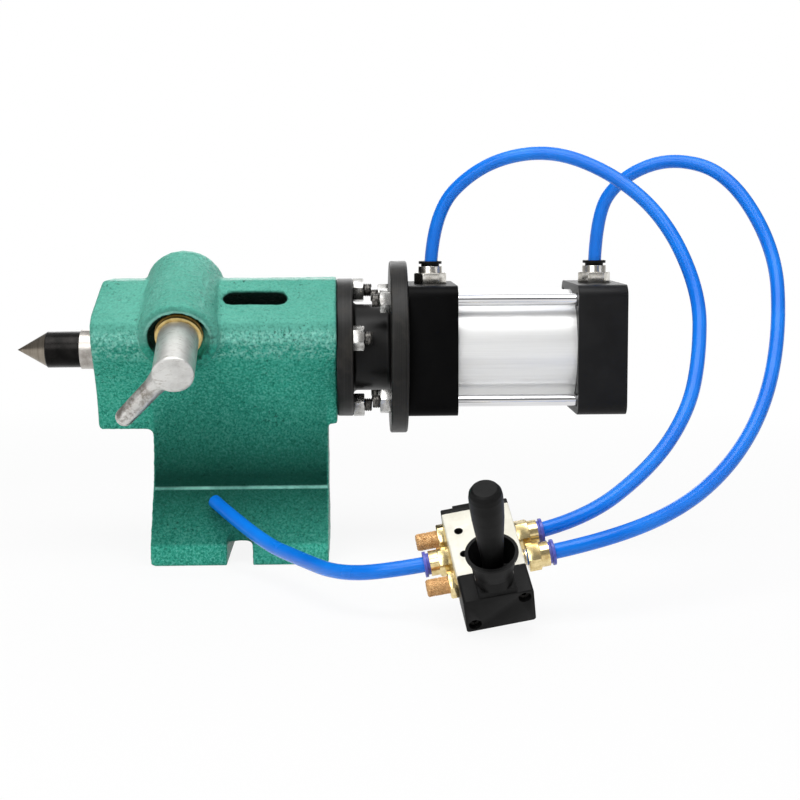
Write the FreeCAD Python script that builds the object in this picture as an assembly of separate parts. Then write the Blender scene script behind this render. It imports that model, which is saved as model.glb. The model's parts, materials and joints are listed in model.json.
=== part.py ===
"""Pneumatic lathe tailstock: casting, quill, quill clamp, air cylinder, hand valve and tubes.

Millimetres. X runs along the quill from the centre's point towards the air cylinder, Y points
away from the operator and Z up. The origin is on the base seat, below the quill's axis.
"""
import FreeCAD
import Part
import math
import os

V = FreeCAD.Vector
ALONG = V(1, 0, 0)
BACK = V(0, 1, 0)
UP = V(0, 0, 1)

# Clearances
running_gap = 0.03
sliding_gap = 0.05
hole_gap = 0.2

# Casting: head
centre_height = 125.0
head_left = -85.0
head_right = 58.3
head_top = 42.4
head_top_half = 15.0
head_half_width = 45.0
head_band_top = 18.9
head_band_bottom = 6.6
head_bottom = -44.5
nose_bottom = -46.6
facet_end = -15.0
facet_slope = 31.3
head_edge_radius = 2.5

# Casting: column and foot
base_length = 105.0
base_half_width = 47.0
foot_edge_height = 12.3
crease_height = 43.0
crease_half_width = 25.0
foot_edge_radius = 1.5
nose_root_radius = 4.0
tunnel_width = 15.0
tunnel_height = 12.9
bolt_slot_width = 15.0
bolt_slot_depth = 9.0

# Quill and centre
quill_diameter = 42.0
quill_length = 130.0
quill_travel = 40.0
quill_key_width = 6.0
quill_key_depth = 3.0
quill_key_x = -12.0
quill_key_half_length = 6.0
taper_large_diameter = 23.825
taper_rate = 1.0 / 19.922
taper_length = 81.0
tang_length = 6.0
tang_thickness = 8.0
tang_side_trim = 8.0
centre_collar_diameter = 24.0
centre_collar_length = 12.0
centre_head_diameter = 22.0
centre_head_length = 21.0
centre_point_angle = 60.0
centre_step = 0.6

# Drift slot through the head and the quill
drift_slot_length = 38.0
drift_slot_width = 12.0
drift_slot_x = 10.3
drift_slot_share = 0.42
quill_slot_length = 26.0
quill_slot_width = 9.0

# Quill clamp
clamp_x = -33.0
clamp_tilt = 30.0
clamp_boss_diameter = 46.5
clamp_boss_length = 67.0
clamp_boss_rounding = 9.0
clamp_boss_root_radius = 3.0
clamp_face_height = 13.4
clamp_face_out = 8.0
clamp_bore_diameter = 28.0
clamp_bore_length = 58.0
clamp_counterbore_diameter = 35.0
clamp_counterbore_depth = 5.0
cotter_gap = 1.6
cotter_saddle_gap = 0.12
near_cotter_end = 38.0
far_cotter_length = 17.0
clamp_washer_thickness = 3.0
clamp_washer_diameter = 27.5
clamp_screw_diameter = 12.0
handle_hub_diameter = 24.0
handle_hub_end = 35.4
handle_bore_end = 13.0
handle_hub_chamfer = 0.8
handle_arm_root_diameter = 12.2
handle_arm_tip_diameter = 10.8
handle_arm_length = 47.0
handle_root_diameter = 18.7
handle_root_length = 18.0
handle_arm_start = 24.4
handle_arm_angle = 43.0
handle_arm_rake = 18.0

# Adapter between the head and the cylinder
flange_1_diameter = 84.0
flange_1_thickness = 9.9
neck_diameter = 52.5
neck_length = 22.2
flange_2_rim = 10.07
flange_2_thickness = 10.4
flange_edge_radius = 1.2
neck_root_radius = 2.5
adapter_bore_diameter = 34.0
adapter_spigot_length = 4.0
stud_circle_diameter = 71.0
stud_turn = 13.4
stud_count = 4
stud_diameter = 8.0
stud_in_casting = 14.0
stud_past_nut = 4.5
stud_boss_diameter = 16.4
stud_boss_length = 20.0

# Hexagon nuts: width across flats and height
nut_8_flats = 13.0
nut_8_height = 6.5

# Air cylinder
tie_rod_pitch = 60.0
tie_rod_edge = 8.75
cap_length = 29.3
cap_corner_radius = 7.0
cap_spigot_length = 4.0
barrel_share = 1.05
barrel_wall = 3.0
barrel_length = 71.1
tie_rod_diameter = 8.0
tie_rod_waist = 7.0
rear_nut_recess_diameter = 15.6
rear_nut_recess_depth = 8.0
piston_thickness = 22.0
piston_end_gap = 0.6
piston_rod_diameter = 20.0
rod_thread_diameter = 16.0
rod_thread_in_quill = 18.0
rod_nut_flats = 24.0
rod_nut_height = 8.0
piston_thread_diameter = 14.0
piston_nut_flats = 21.0
piston_nut_height = 8.0
nut_pocket_diameter = 27.0
rod_bush_diameter = 26.0
rod_bush_length = 18.0
rod_seal_diameter = 28.0
rod_seal_length = 5.0
seal_groove_width = 3.0
seal_groove_depth = 2.5
air_way_diameter = 6.0
air_way_height = 24.0

# Push-in fittings and air tube
tube_diameter = 8.0
tube_bore = 5.0
tube_insertion = 12.0
port_thread_diameter = 13.0
port_thread_length = 9.0
port_hex_flats = 17.0
port_hex_height = 6.5
port_body_diameter = 14.5
port_body_height = 4.0
collar_flange_thickness = 1.6
collar_sleeve_diameter = 11.0
collar_sleeve_length = 5.0
collar_diameter = 14.0
collar_travel = 1.2

# Hand valve, in its own frame: X to the right, Y to its rear, Z out of its top
valve_x = 122.8
valve_y = -203.1
valve_z = 0.2
valve_yaw = 1.9
valve_side_lift = 9.9
valve_rear_lift = 33.2
valve_width = 35.0
valve_height = 22.0
housing_length = 18.0
valve_body_length = 44.0
end_cap_length = 3.5
end_cap_pad_length = 2.5
end_cap_pad_width = 22.0
valve_edge = 0.8
housing_tower_side = 19.0
housing_tower_height = 3.0
housing_front_wall = 3.0
lever_slot_half = 4.2
lever_slot_depth = 3.2
housing_well_diameter = 6.5
housing_well_depth = 5.0
well_inset = 4.6
spool_diameter = 10.0
spool_neck_diameter = 5.5
spool_travel = 2.6
port_height = 11.0
left_port_places = (23.7, 40.2, 56.3)
right_port_places = (32.0, 48.0)
valve_hole_diameter = 4.3
valve_hole_inset = 6.5
valve_hole_places = (32.0, 48.3)
valve_port_bore = 8.0
valve_port_depth = 7.0
valve_fitting_flats = 13.5
valve_fitting_hex_height = 6.5
valve_fitting_body_diameter = 13.0
valve_fitting_body_height = 4.5
valve_collar_diameter = 13.2
outlet_standoffs = (3.0, 0.6)
silencer_hex_height = 4.0
silencer_diameter = 8.2
silencer_length = 11.0
lever_pivot_height = 28.0
lever_ball_diameter = 4.6
lever_shaft_diameter = 5.0
lever_stem_diameter = 3.0
lever_eye_diameter = 7.5
lever_eye_length = 7.2
lever_stem_cover = 15.0
pivot_pin_diameter = 3.0
boot_base_diameter = 19.0
boot_rim_diameter = 26.0
boot_height = 22.0
boot_wall = 1.6
boot_straight = 6.0
boot_flare_start = 11.0
boot_flare_growth = 1.2
boot_lip = 2.5
boot_cheek_half = 3.0
boot_cheek_top = 3.0
grip_neck_diameter = 10.5
grip_start = 12.0
grip_end = 64.5
grip_waist_diameter = 13.3
grip_diameter = 16.4
grip_top_rounding = 2.5

# Routes of the tubes, from fitting to fitting; the ends are worked out from the fittings
front_tube_points = (
    (144, -8, 235),
    (183, -22, 244),
    (219, -38, 230),
    (248, -56, 203),
    (264, -77, 161),
    (260, -97, 126),
    (250, -116, 98),
    (226, -138, 71),
)
rear_tube_points = (
    (231, -7, 228),
    (260, -17, 239),
    (291, -32, 228),
    (313, -54, 184),
    (309, -81, 139),
    (295, -107, 100),
    (270, -132, 70),
    (235, -158, 50),
)
supply_tube_points = (
    (58, -156, 20),
    (38, -114, 18.5),
    (13.5, -72, 20),
    (-15.4, -34.2, 36.6),
)
tube_start_gap = 22.0
tube_port_rise = 42.0

# Places worked out from the sizes above
quill_radius = quill_diameter / 2
quill_right = head_left + quill_length
adapter_left = head_right
neck_left = adapter_left + flange_1_thickness
flange_2_left = neck_left + neck_length
front_cap_left = flange_2_left + flange_2_thickness
barrel_left = front_cap_left + cap_length
barrel_right = barrel_left + barrel_length
rear_cap_right = barrel_right + cap_length
piston_right = barrel_right - cap_spigot_length - piston_end_gap
piston_left = piston_right - piston_thickness
rod_left = quill_right - rod_thread_in_quill
cap_side = tie_rod_pitch + 2 * tie_rod_edge
cap_half = cap_side / 2
barrel_bore = tie_rod_pitch * barrel_share
flange_2_diameter = tie_rod_pitch * math.sqrt(2) + 2 * flange_2_rim
cap_top = centre_height + cap_half
tie_places = [(y, z) for y in (-tie_rod_pitch / 2, tie_rod_pitch / 2)
              for z in (-tie_rod_pitch / 2, tie_rod_pitch / 2)]
front_port_x = front_cap_left + cap_length / 2
rear_port_x = barrel_right + cap_length / 2
axis_origin = V(0, 0, centre_height)

os.makedirs("parts", exist_ok=True)


def write(name, *shapes):
    """Write one node's STEP file, holding one solid or a group of separate solids."""
    shape = shapes[0] if len(shapes) == 1 else Part.makeCompound(list(shapes))
    shape.exportStep("parts/" + name + ".step")


def rod(start, axis, diameter, length):
    return Part.makeCylinder(diameter / 2, length, start, axis)


def ring(start, axis, outer, inner, length):
    return rod(start, axis, outer, length).cut(rod(start, axis, inner, length))


def box(x0, x1, y0, y1, z0, z1):
    return Part.makeBox(x1 - x0, y1 - y0, z1 - z0, V(x0, y0, z0))


def centred(x):
    """A point on the quill's axis."""
    return V(x, 0, centre_height)


def frame_at(point, axis, across):
    """The placement that puts local Z along axis and local X near across."""
    side = across - axis * across.dot(axis)
    return FreeCAD.Placement(point, FreeCAD.Rotation(side, V(), axis, "ZXY"))


def polygon_face(points):
    return Part.Face(Part.makePolygon(points + points[:1]))


def hexagon(start, axis, across, flats, height, chamfer=0.6):
    """A hexagon with its outer corners turned down, one corner towards across."""
    corner = flats / math.sqrt(3)
    points = [V(corner * math.cos(math.radians(60 * i)), corner * math.sin(math.radians(60 * i)), 0)
              for i in range(6)]
    body = polygon_face(points).extrude(V(0, 0, height))
    lower = Part.makeCylinder(corner, height - chamfer)
    upper = Part.makeCone(corner, corner - chamfer * 1.6, chamfer, V(0, 0, height - chamfer))
    body = body.common(lower.fuse(upper))
    body.Placement = frame_at(start, axis, across)
    return body


def rounded_outline(points, radii):
    """A face from corner points, each corner rounded with its radius."""
    count = len(points)
    edges = []
    ends = []
    for i, corner in enumerate(points):
        before = (points[i - 1] - corner).normalize()
        after = (points[(i + 1) % count] - corner).normalize()
        if radii[i] <= 0:
            ends.append((corner, corner, corner))
            continue
        half = math.acos(max(-1.0, min(1.0, before.dot(after)))) / 2
        reach = radii[i] / math.tan(half)
        centre = corner + (before + after).normalize() * (radii[i] / math.sin(half))
        middle = centre + (corner - centre).normalize() * radii[i]
        ends.append((corner + before * reach, middle, corner + after * reach))
    for i in range(count):
        start, middle, end = ends[i]
        if (end - start).Length > 1e-6:
            edges.append(Part.Arc(start, middle, end).toShape())
        following = ends[(i + 1) % count][0]
        edges.append(Part.LineSegment(end, following).toShape())
    return Part.Face(Part.Wire(edges))


def turned(profile, start, axis, across):
    """Revolve a half profile of (radius, height) points about a line."""
    face = polygon_face([V(radius, 0, height) for radius, height in profile])
    solid = face.revolve(V(), UP, 360)
    solid.Placement = frame_at(start, axis, across)
    return solid


# Casting

def concave_side():
    """The column's hollow: an arc that leaves the lower facet and ends at the foot's crease."""
    slope = math.radians(facet_slope)
    run = (head_band_bottom - facet_end) * math.tan(slope)
    start = V(0, -head_half_width + run, centre_height + facet_end)
    end = V(0, -crease_half_width, crease_height)
    heading = V(0, math.sin(slope), -math.cos(slope))
    chord = end - start
    half_turn = math.acos(heading.dot(chord) / chord.Length)
    sagitta = chord.Length / 2 * math.tan(half_turn / 2)
    inward = V(0, -chord.z, chord.y).normalize()
    middle = (start + end) * 0.5 + inward * sagitta
    return start, middle, end


def column_profile():
    """Half of the section across the quill, front side, from the top down to the seat."""
    start, middle, end = concave_side()
    z = centre_height
    points = [
        V(0, 0, z + head_top),
        V(0, -head_top_half, z + head_top),
        V(0, -head_half_width, z + head_band_top),
        V(0, -head_half_width, z + head_band_bottom),
        start,
    ]
    edges = [Part.LineSegment(a, b).toShape() for a, b in zip(points, points[1:])]
    edges.append(Part.Arc(start, middle, end).toShape())
    foot = [
        end,
        V(0, -base_half_width, foot_edge_height),
        V(0, -base_half_width, 0),
        V(0, 0, 0),
        points[0],
    ]
    edges += [Part.LineSegment(a, b).toShape() for a, b in zip(foot, foot[1:])]
    return Part.Face(Part.Wire(edges))


def side_profile():
    """The outline seen from the operator's side: head, nose, column and the cross tunnel."""
    half = base_length / 2
    low = centre_height + head_bottom
    nose_low = centre_height + nose_bottom
    high = centre_height + head_top
    tunnel = tunnel_width / 2
    corners = [
        (-half, 0, foot_edge_radius),
        (-half, nose_low, nose_root_radius),
        (head_left, nose_low, head_edge_radius),
        (head_left, high, head_edge_radius),
        (head_right, high, 0),
        (head_right, low, foot_edge_radius),
        (half, low, foot_edge_radius),
        (half, 0, foot_edge_radius),
        (tunnel, 0, 0),
        (tunnel, tunnel_height, foot_edge_radius),
        (-tunnel, tunnel_height, foot_edge_radius),
        (-tunnel, 0, 0),
    ]
    points = [V(x, -base_half_width - 1, z) for x, z, radius in corners]
    return rounded_outline(points, [radius for x, z, radius in corners])


def clamp_frame():
    """Start and inward direction of the clamp's axis, and the direction across it, upwards."""
    tilt = math.radians(clamp_tilt)
    inward = V(0, math.cos(tilt), math.sin(tilt))
    upward = V(0, -math.sin(tilt), math.cos(tilt))
    start = V(clamp_x, -head_half_width, centre_height + clamp_face_height)
    return start - inward * clamp_face_out, inward, upward


def clamp_boss():
    """The slanted boss with a domed far end."""
    start, inward, upward = clamp_frame()
    boss = rod(start, inward, clamp_boss_diameter, clamp_boss_length)
    far_edge = [edge for edge in boss.Edges if len(edge.Vertexes) == 1
                and (edge.Curve.Center - start).Length > clamp_boss_length / 2]
    return boss.makeFillet(clamp_boss_rounding, far_edge)


def boss_root_edges(body):
    """The edges where the boss's round side meets the head's flats."""
    start, inward, upward = clamp_frame()
    radius = clamp_boss_diameter / 2
    edges = []
    for edge in body.Edges:
        span = edge.LastParameter - edge.FirstParameter
        points = [edge.valueAt(edge.FirstParameter + span * share) - start for share in (0.25, 0.5, 0.75)]
        off_axis = [(point - inward * point.dot(inward)).Length for point in points]
        deep = [point.dot(inward) for point in points]
        on_side = all(abs(distance - radius) < 0.02 for distance in off_axis)
        along = abs(edge.tangentAt(edge.FirstParameter).dot(inward)) > 0.9999
        if on_side and not along and min(deep) > 0.5 and max(deep) < clamp_boss_length - 0.5:
            edges.append(edge)
    return edges


def stud_places():
    """The studs about the quill's axis, as points in the plane across it."""
    places = []
    for i in range(stud_count):
        angle = math.radians(stud_turn + i * 360 / stud_count)
        places.append((-math.cos(angle) * stud_circle_diameter / 2,
                       math.sin(angle) * stud_circle_diameter / 2))
    return places


def stud_bosses():
    """Short ribs that carry the studs where the head's lower facets cut in."""
    bosses = []
    for y, z in stud_places():
        bosses.append(rod(V(head_right - stud_boss_length, y, centre_height + z), ALONG,
                          stud_boss_diameter, stud_boss_length))
    return bosses


def bevel_frame():
    """The drift slot's centre on the front bevel, and the direction out of the bevel."""
    top = V(0, -head_top_half, centre_height + head_top)
    bottom = V(0, -head_half_width, centre_height + head_band_top)
    place = top + (bottom - top) * drift_slot_share
    along = (bottom - top).normalize()
    outward = V(0, -abs(along.z), abs(along.y))
    return V(drift_slot_x, place.y, place.z), outward


def slot_cutter(length, width, depth_in, height_out):
    """An obround bar through the drift slot, pointing out of the bevel."""
    place, outward = bevel_frame()
    start = place - outward * depth_in
    tall = depth_in + height_out
    straight = length - width
    bar = Part.makeBox(straight, width, tall, V(-straight / 2, -width / 2, 0))
    for x in (-straight / 2, straight / 2):
        bar = bar.fuse(Part.makeCylinder(width / 2, tall, V(x, 0, 0)))
    bar.Placement = frame_at(start, outward, ALONG)
    return bar


def bolt_slots():
    """Open slots down through both flanks of the foot for the hold-down bolts."""
    cutters = []
    radius = bolt_slot_width / 2
    centre_y = base_half_width - bolt_slot_depth + radius
    for side in (-1, 1):
        cutters.append(Part.makeCylinder(radius, crease_height, V(0, side * centre_y, -1)))
        y0, y1 = sorted((side * centre_y, side * (base_half_width + 1)))
        cutters.append(box(-radius, radius, y0, y1, -1, crease_height - 1))
    return cutters


def casting():
    half = column_profile().extrude(V(head_right - head_left, 0, 0))
    half.translate(V(head_left, 0, 0))
    body = half.fuse(half.mirror(V(), BACK)).removeSplitter()
    body = body.fuse(clamp_boss()).removeSplitter()
    body = body.makeFillet(clamp_boss_root_radius, boss_root_edges(body))
    outside = base_half_width + 1
    side = side_profile().extrude(V(0, 2 * outside, 0))
    waste = box(head_left - 1, head_right + 1, -outside, outside, -1, centre_height + head_top)
    body = body.cut(waste.cut(side))
    body = body.fuse(stud_bosses()).removeSplitter()
    start, inward, upward = clamp_frame()
    outward = inward * -1
    cutters = [
        rod(centred(head_left - 1), ALONG, quill_diameter + 2 * running_gap,
            head_right - head_left + 2),
        rod(start, inward, clamp_bore_diameter + 2 * running_gap, clamp_bore_length),
        rod(start + outward * 5, inward, clamp_counterbore_diameter, clamp_counterbore_depth + 5),
        slot_cutter(drift_slot_length, drift_slot_width, head_top - quill_radius / 2, 20),
        box(quill_key_x - quill_key_half_length, quill_key_x + quill_key_half_length,
            -quill_key_width / 2, quill_key_width / 2,
            centre_height - quill_radius - quill_key_depth, centre_height - quill_radius + 1),
    ]
    for y, z in stud_places():
        cutters.append(rod(V(head_right - stud_in_casting, y, centre_height + z), ALONG,
                           stud_diameter, stud_in_casting + 1))
    cutters += bolt_slots()
    return body.cut(cutters).removeSplitter()


# Quill group

def quill():
    body = rod(centred(head_left), ALONG, quill_diameter, quill_length)
    small = taper_large_diameter - taper_length * taper_rate
    socket = Part.makeCone(taper_large_diameter / 2 + sliding_gap / 2, small / 2 + sliding_gap / 2,
                           taper_length, centred(head_left), ALONG)
    tang_room = rod(centred(head_left + taper_length - 1), ALONG, small - 2, tang_length + 12)
    keyway = box(quill_key_x - quill_key_half_length - quill_key_width / 2,
                 quill_key_x + quill_key_half_length + quill_key_width / 2 + quill_travel,
                 -quill_key_width / 2 - running_gap, quill_key_width / 2 + running_gap,
                 centre_height - quill_radius - 1,
                 centre_height - quill_radius + quill_key_depth + running_gap)
    rod_hole = rod(centred(rod_left), ALONG, rod_thread_diameter, rod_thread_in_quill + 1)
    slot = slot_cutter(quill_slot_length, quill_slot_width, head_top, 20)
    return body.cut([socket, tang_room, keyway, rod_hole, slot])


def quill_key():
    """The key that the casting holds, standing in the quill's keyway from below."""
    low = centre_height - quill_radius - quill_key_depth
    high = centre_height - quill_radius + quill_key_depth
    return box(quill_key_x - quill_key_half_length, quill_key_x + quill_key_half_length,
               -quill_key_width / 2, quill_key_width / 2, low, high)


def dead_centre():
    half_angle = math.radians(centre_point_angle / 2)
    cone_radius = centre_head_diameter / 2 - centre_step
    small = taper_large_diameter - taper_length * taper_rate
    collar_left = head_left - centre_collar_length
    head_start = collar_left - centre_head_length
    point_x = head_start - cone_radius / math.tan(half_angle)
    heights = [
        (0, 0),
        (cone_radius, head_start - point_x),
        (centre_head_diameter / 2, head_start - point_x + centre_step),
        (centre_head_diameter / 2, collar_left - point_x),
        (centre_collar_diameter / 2, collar_left - point_x + 0.01),
        (centre_collar_diameter / 2, head_left - point_x),
        (taper_large_diameter / 2, head_left - point_x),
        (small / 2, head_left + taper_length - point_x),
        (0, head_left + taper_length - point_x),
    ]
    body = turned(heights, centred(point_x), ALONG, UP)
    place, outward = bevel_frame()
    tang_height = small - tang_side_trim
    tang = Part.makeBox(tang_length + 1, tang_thickness, tang_height)
    tang.translate(V(-1, -tang_thickness / 2, -tang_height / 2))
    tang.translate(V(head_left + taper_length, 0, 0))
    tilt = math.degrees(math.atan2(-outward.y, outward.z))
    tang.rotate(V(), ALONG, tilt)
    tang.translate(axis_origin)
    return body.fuse(tang)


# Quill clamp

def cotters():
    """The clamp's two cotters, each with a saddle that fits round the quill."""
    start, inward, upward = clamp_frame()
    saddle = rod(centred(head_left), ALONG, quill_diameter + 2 * cotter_saddle_gap, quill_length)
    screw_hole = rod(start, inward, clamp_screw_diameter + 2 * running_gap, clamp_boss_length)
    washer_seat = clamp_counterbore_depth - clamp_washer_thickness
    near = rod(start + inward * (washer_seat + clamp_washer_thickness), inward, clamp_bore_diameter,
               near_cotter_end - washer_seat - clamp_washer_thickness)
    far_start = near_cotter_end + cotter_gap
    far = rod(start + inward * far_start, inward, clamp_bore_diameter, far_cotter_length)
    return near.cut([saddle, screw_hole]), far.cut([saddle, screw_hole])


def clamp_washer():
    start, inward, upward = clamp_frame()
    seat = clamp_counterbore_depth - clamp_washer_thickness
    return ring(start + inward * seat, inward, clamp_washer_diameter,
                clamp_screw_diameter + 2 * hole_gap, clamp_washer_thickness)


def clamp_screw():
    start, inward, upward = clamp_frame()
    thread_end = near_cotter_end + cotter_gap + far_cotter_length - 1
    return rod(start - inward * handle_bore_end, inward, clamp_screw_diameter,
               thread_end + handle_bore_end)


def lock_handle():
    """The turned hub on the screw, with its raked and tapered arm."""
    start, inward, upward = clamp_frame()
    outward = inward * -1
    seat = clamp_counterbore_depth - clamp_washer_thickness - running_gap
    hub = rod(start + inward * seat, outward, handle_hub_diameter, handle_hub_end + seat)
    end_edge = [edge for edge in hub.Edges if len(edge.Vertexes) == 1
                and (edge.Curve.Center - start).Length > handle_hub_end / 2]
    hub = hub.makeChamfer(handle_hub_chamfer, end_edge)
    angle = math.radians(handle_arm_angle)
    rake = math.radians(handle_arm_rake)
    across = ALONG * -math.cos(angle) + upward * -math.sin(angle)
    direction = across * math.cos(rake) + outward * math.sin(rake)
    base = start + outward * handle_arm_start
    straight = handle_arm_length - handle_arm_tip_diameter / 2
    arm = Part.makeCone(handle_arm_root_diameter / 2, handle_arm_tip_diameter / 2, straight,
                        base, direction)
    tip = base + direction * straight
    knob = Part.makeSphere(handle_arm_tip_diameter / 2, tip)
    share = handle_root_length / straight
    root_end = (handle_arm_root_diameter * (1 - share) + handle_arm_tip_diameter * share) / 2
    root = Part.makeCone(handle_root_diameter / 2, root_end - running_gap, handle_root_length,
                         base, direction)
    bore = rod(start + outward * handle_bore_end, inward, clamp_screw_diameter,
               handle_bore_end + seat + 1)
    return hub.fuse([arm, knob, root]).cut(bore).removeSplitter()


# Adapter

def adapter():
    """The spool: a flange on the head, a neck, and a larger flange on the cylinder."""
    outline = [
        (0, 0, 0),
        (flange_1_diameter / 2, 0, flange_edge_radius),
        (flange_1_diameter / 2, flange_1_thickness, flange_edge_radius),
        (neck_diameter / 2, flange_1_thickness, neck_root_radius),
        (neck_diameter / 2, flange_1_thickness + neck_length, neck_root_radius),
        (flange_2_diameter / 2, flange_1_thickness + neck_length, flange_edge_radius),
        (flange_2_diameter / 2, front_cap_left - adapter_left, flange_edge_radius),
        (0, front_cap_left - adapter_left, 0),
    ]
    face = rounded_outline([V(radius, 0, height) for radius, height, edge in outline],
                           [edge for radius, height, edge in outline])
    body = face.revolve(V(), UP, 360)
    body.Placement = frame_at(centred(adapter_left), ALONG, UP)
    body = body.fuse(rod(centred(adapter_left - adapter_spigot_length), ALONG,
                         quill_diameter, adapter_spigot_length + 1))
    cutters = [rod(centred(adapter_left - adapter_spigot_length - 1), ALONG, adapter_bore_diameter,
                   front_cap_left - adapter_left + adapter_spigot_length + 2)]
    for y, z in stud_places():
        cutters.append(rod(V(adapter_left - 1, y, centre_height + z), ALONG,
                           stud_diameter + 2 * hole_gap, flange_1_thickness + 2))
    for y, z in tie_places:
        cutters.append(rod(V(flange_2_left - 1, y, centre_height + z), ALONG,
                           tie_rod_diameter + 2 * hole_gap, flange_2_thickness + 2))
    return body.cut(cutters)


def stud_group():
    """Studs in the head and, apart from them, their nuts on the small flange."""
    studs = []
    nuts = []
    length = stud_in_casting + flange_1_thickness + nut_8_height + stud_past_nut
    for y, z in stud_places():
        outward = V(0, y, z).normalize()
        start = V(head_right - stud_in_casting, y, centre_height + z)
        stud = rod(start, ALONG, stud_diameter, length - 1)
        stud = stud.fuse(Part.makeCone(stud_diameter / 2, stud_diameter / 2 - 1, 1,
                                       start + ALONG * (length - 1), ALONG))
        studs.append(stud.removeSplitter())
        nut = hexagon(V(neck_left, y, centre_height + z), ALONG, ALONG.cross(outward),
                      nut_8_flats, nut_8_height)
        nuts.append(nut.cut(stud))
    return studs, nuts


# Air cylinder

def cap_block(left):
    """A square cap with rounded corners along the cylinder."""
    half = cap_half
    corners = [V(left, -half, centre_height - half), V(left, half, centre_height - half),
               V(left, half, centre_height + half), V(left, -half, centre_height + half)]
    face = rounded_outline(corners, [cap_corner_radius] * 4)
    return face.extrude(V(cap_length, 0, 0))


def port_cutters(port_x, inner_face, into):
    """The threaded port in a cap's top, and the air way from it to the barrel."""
    port = rod(V(port_x, 0, cap_top - port_thread_length), UP, port_thread_diameter,
               port_thread_length + 1)
    down = rod(V(port_x, 0, centre_height + air_way_height), UP, air_way_diameter,
               cap_half - air_way_height)
    end = inner_face + into * (cap_spigot_length + 1)
    left, right = sorted((port_x, end))
    across = rod(V(left, 0, centre_height + air_way_height), ALONG, air_way_diameter, right - left)
    return [port, down, across]


def seal_groove(left):
    outer = barrel_bore + 2
    inner = barrel_bore - 2 * seal_groove_depth
    return ring(centred(left), ALONG, outer, inner, seal_groove_width)


def seal_ring(left):
    return ring(centred(left), ALONG, barrel_bore, barrel_bore - 2 * seal_groove_depth,
                seal_groove_width)


def tie_holes(left, length):
    return [rod(V(left, y, centre_height + z), ALONG, tie_rod_diameter + 2 * hole_gap, length)
            for y, z in tie_places]


def front_cap():
    body = cap_block(front_cap_left)
    body = body.fuse([
        rod(centred(barrel_left - 1), ALONG, barrel_bore, cap_spigot_length + 1),
        rod(centred(front_cap_left - adapter_spigot_length), ALONG, adapter_bore_diameter,
            adapter_spigot_length + 1),
    ])
    bush_left = front_cap_left - adapter_spigot_length
    seal_left = bush_left + rod_bush_length
    cutters = [
        rod(centred(bush_left - 1), ALONG, rod_bush_diameter, rod_bush_length + 1),
        rod(centred(seal_left), ALONG, rod_seal_diameter, rod_seal_length),
        rod(centred(seal_left), ALONG, piston_rod_diameter + 1, cap_length),
        seal_groove(barrel_left + 0.5),
    ]
    cutters += port_cutters(front_port_x, barrel_left, 1)
    cutters += tie_holes(front_cap_left - 1, cap_length + 2)
    return body.cut(cutters)


def rear_cap():
    body = cap_block(barrel_right)
    body = body.fuse(rod(centred(barrel_right - cap_spigot_length), ALONG, barrel_bore,
                         cap_spigot_length + 1))
    cutters = [
        rod(centred(barrel_right - cap_spigot_length - 1), ALONG, nut_pocket_diameter,
            piston_nut_height + 6),
        seal_groove(barrel_right - 0.5 - seal_groove_width),
    ]
    cutters += port_cutters(rear_port_x, barrel_right, -1)
    cutters += tie_holes(barrel_right - 1, cap_length + 2)
    for y, z in tie_places:
        cutters.append(rod(V(rear_cap_right - rear_nut_recess_depth, y, centre_height + z), ALONG,
                           rear_nut_recess_diameter, rear_nut_recess_depth + 1))
    return body.cut(cutters)


def tie_rods():
    """Four tie rods with their nuts on the large flange and in the rear cap's recesses."""
    rods = []
    front_nuts = []
    rear_nuts = []
    rod_start = flange_2_left - nut_8_height - stud_past_nut
    rod_end = rear_cap_right - 0.8
    rear_seat = rear_cap_right - rear_nut_recess_depth
    waist_start = barrel_left - 6
    waist_end = barrel_right + 6
    for y, z in tie_places:
        tie = rod(V(rod_start, y, centre_height + z), ALONG, tie_rod_diameter, rod_end - rod_start)
        waist = ring(V(waist_start, y, centre_height + z), ALONG, tie_rod_diameter + 1,
                     tie_rod_waist, waist_end - waist_start)
        tie = tie.cut(waist)
        rods.append(tie)
        front = hexagon(V(flange_2_left, y, centre_height + z), ALONG * -1, V(0, y, z),
                        nut_8_flats, nut_8_height)
        front_nuts.append(front.cut(tie))
        rear = hexagon(V(rear_seat, y, centre_height + z), ALONG, V(0, y, z),
                       nut_8_flats, nut_8_height)
        rear_nuts.append(rear.cut(tie))
    return rods, front_nuts, rear_nuts


def piston_rod():
    parts = [
        rod(centred(rod_left), ALONG, rod_thread_diameter, rod_thread_in_quill + rod_nut_height + 1),
        rod(centred(quill_right + rod_nut_height), ALONG, piston_rod_diameter,
            piston_left - quill_right - rod_nut_height),
        rod(centred(piston_left - 1), ALONG, piston_thread_diameter,
            piston_thickness + piston_nut_height + 2.5),
    ]
    return parts[0].fuse(parts[1:]).removeSplitter()


def piston():
    """The piston with its seal groove, clamped on the rod by a nut."""
    body = rod(centred(piston_left), ALONG, barrel_bore - 2 * sliding_gap, piston_thickness)
    groove = ring(centred(piston_left + (piston_thickness - 2 * seal_groove_width) / 2), ALONG,
                  barrel_bore + 2, barrel_bore - 4 * seal_groove_depth, 2 * seal_groove_width)
    return body.cut([groove, rod(centred(piston_left - 1), ALONG, piston_thread_diameter,
                                 piston_thickness + 2)])


def piston_seal():
    return ring(centred(piston_left + (piston_thickness - 2 * seal_groove_width) / 2), ALONG,
                barrel_bore - 2 * sliding_gap, barrel_bore - 4 * seal_groove_depth,
                2 * seal_groove_width)


def axis_nut(left, flats, height, bore):
    nut = hexagon(centred(left), ALONG, UP, flats, height)
    return nut.cut(rod(centred(left - 1), ALONG, bore, height + 2))


# Push-in fittings

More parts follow.
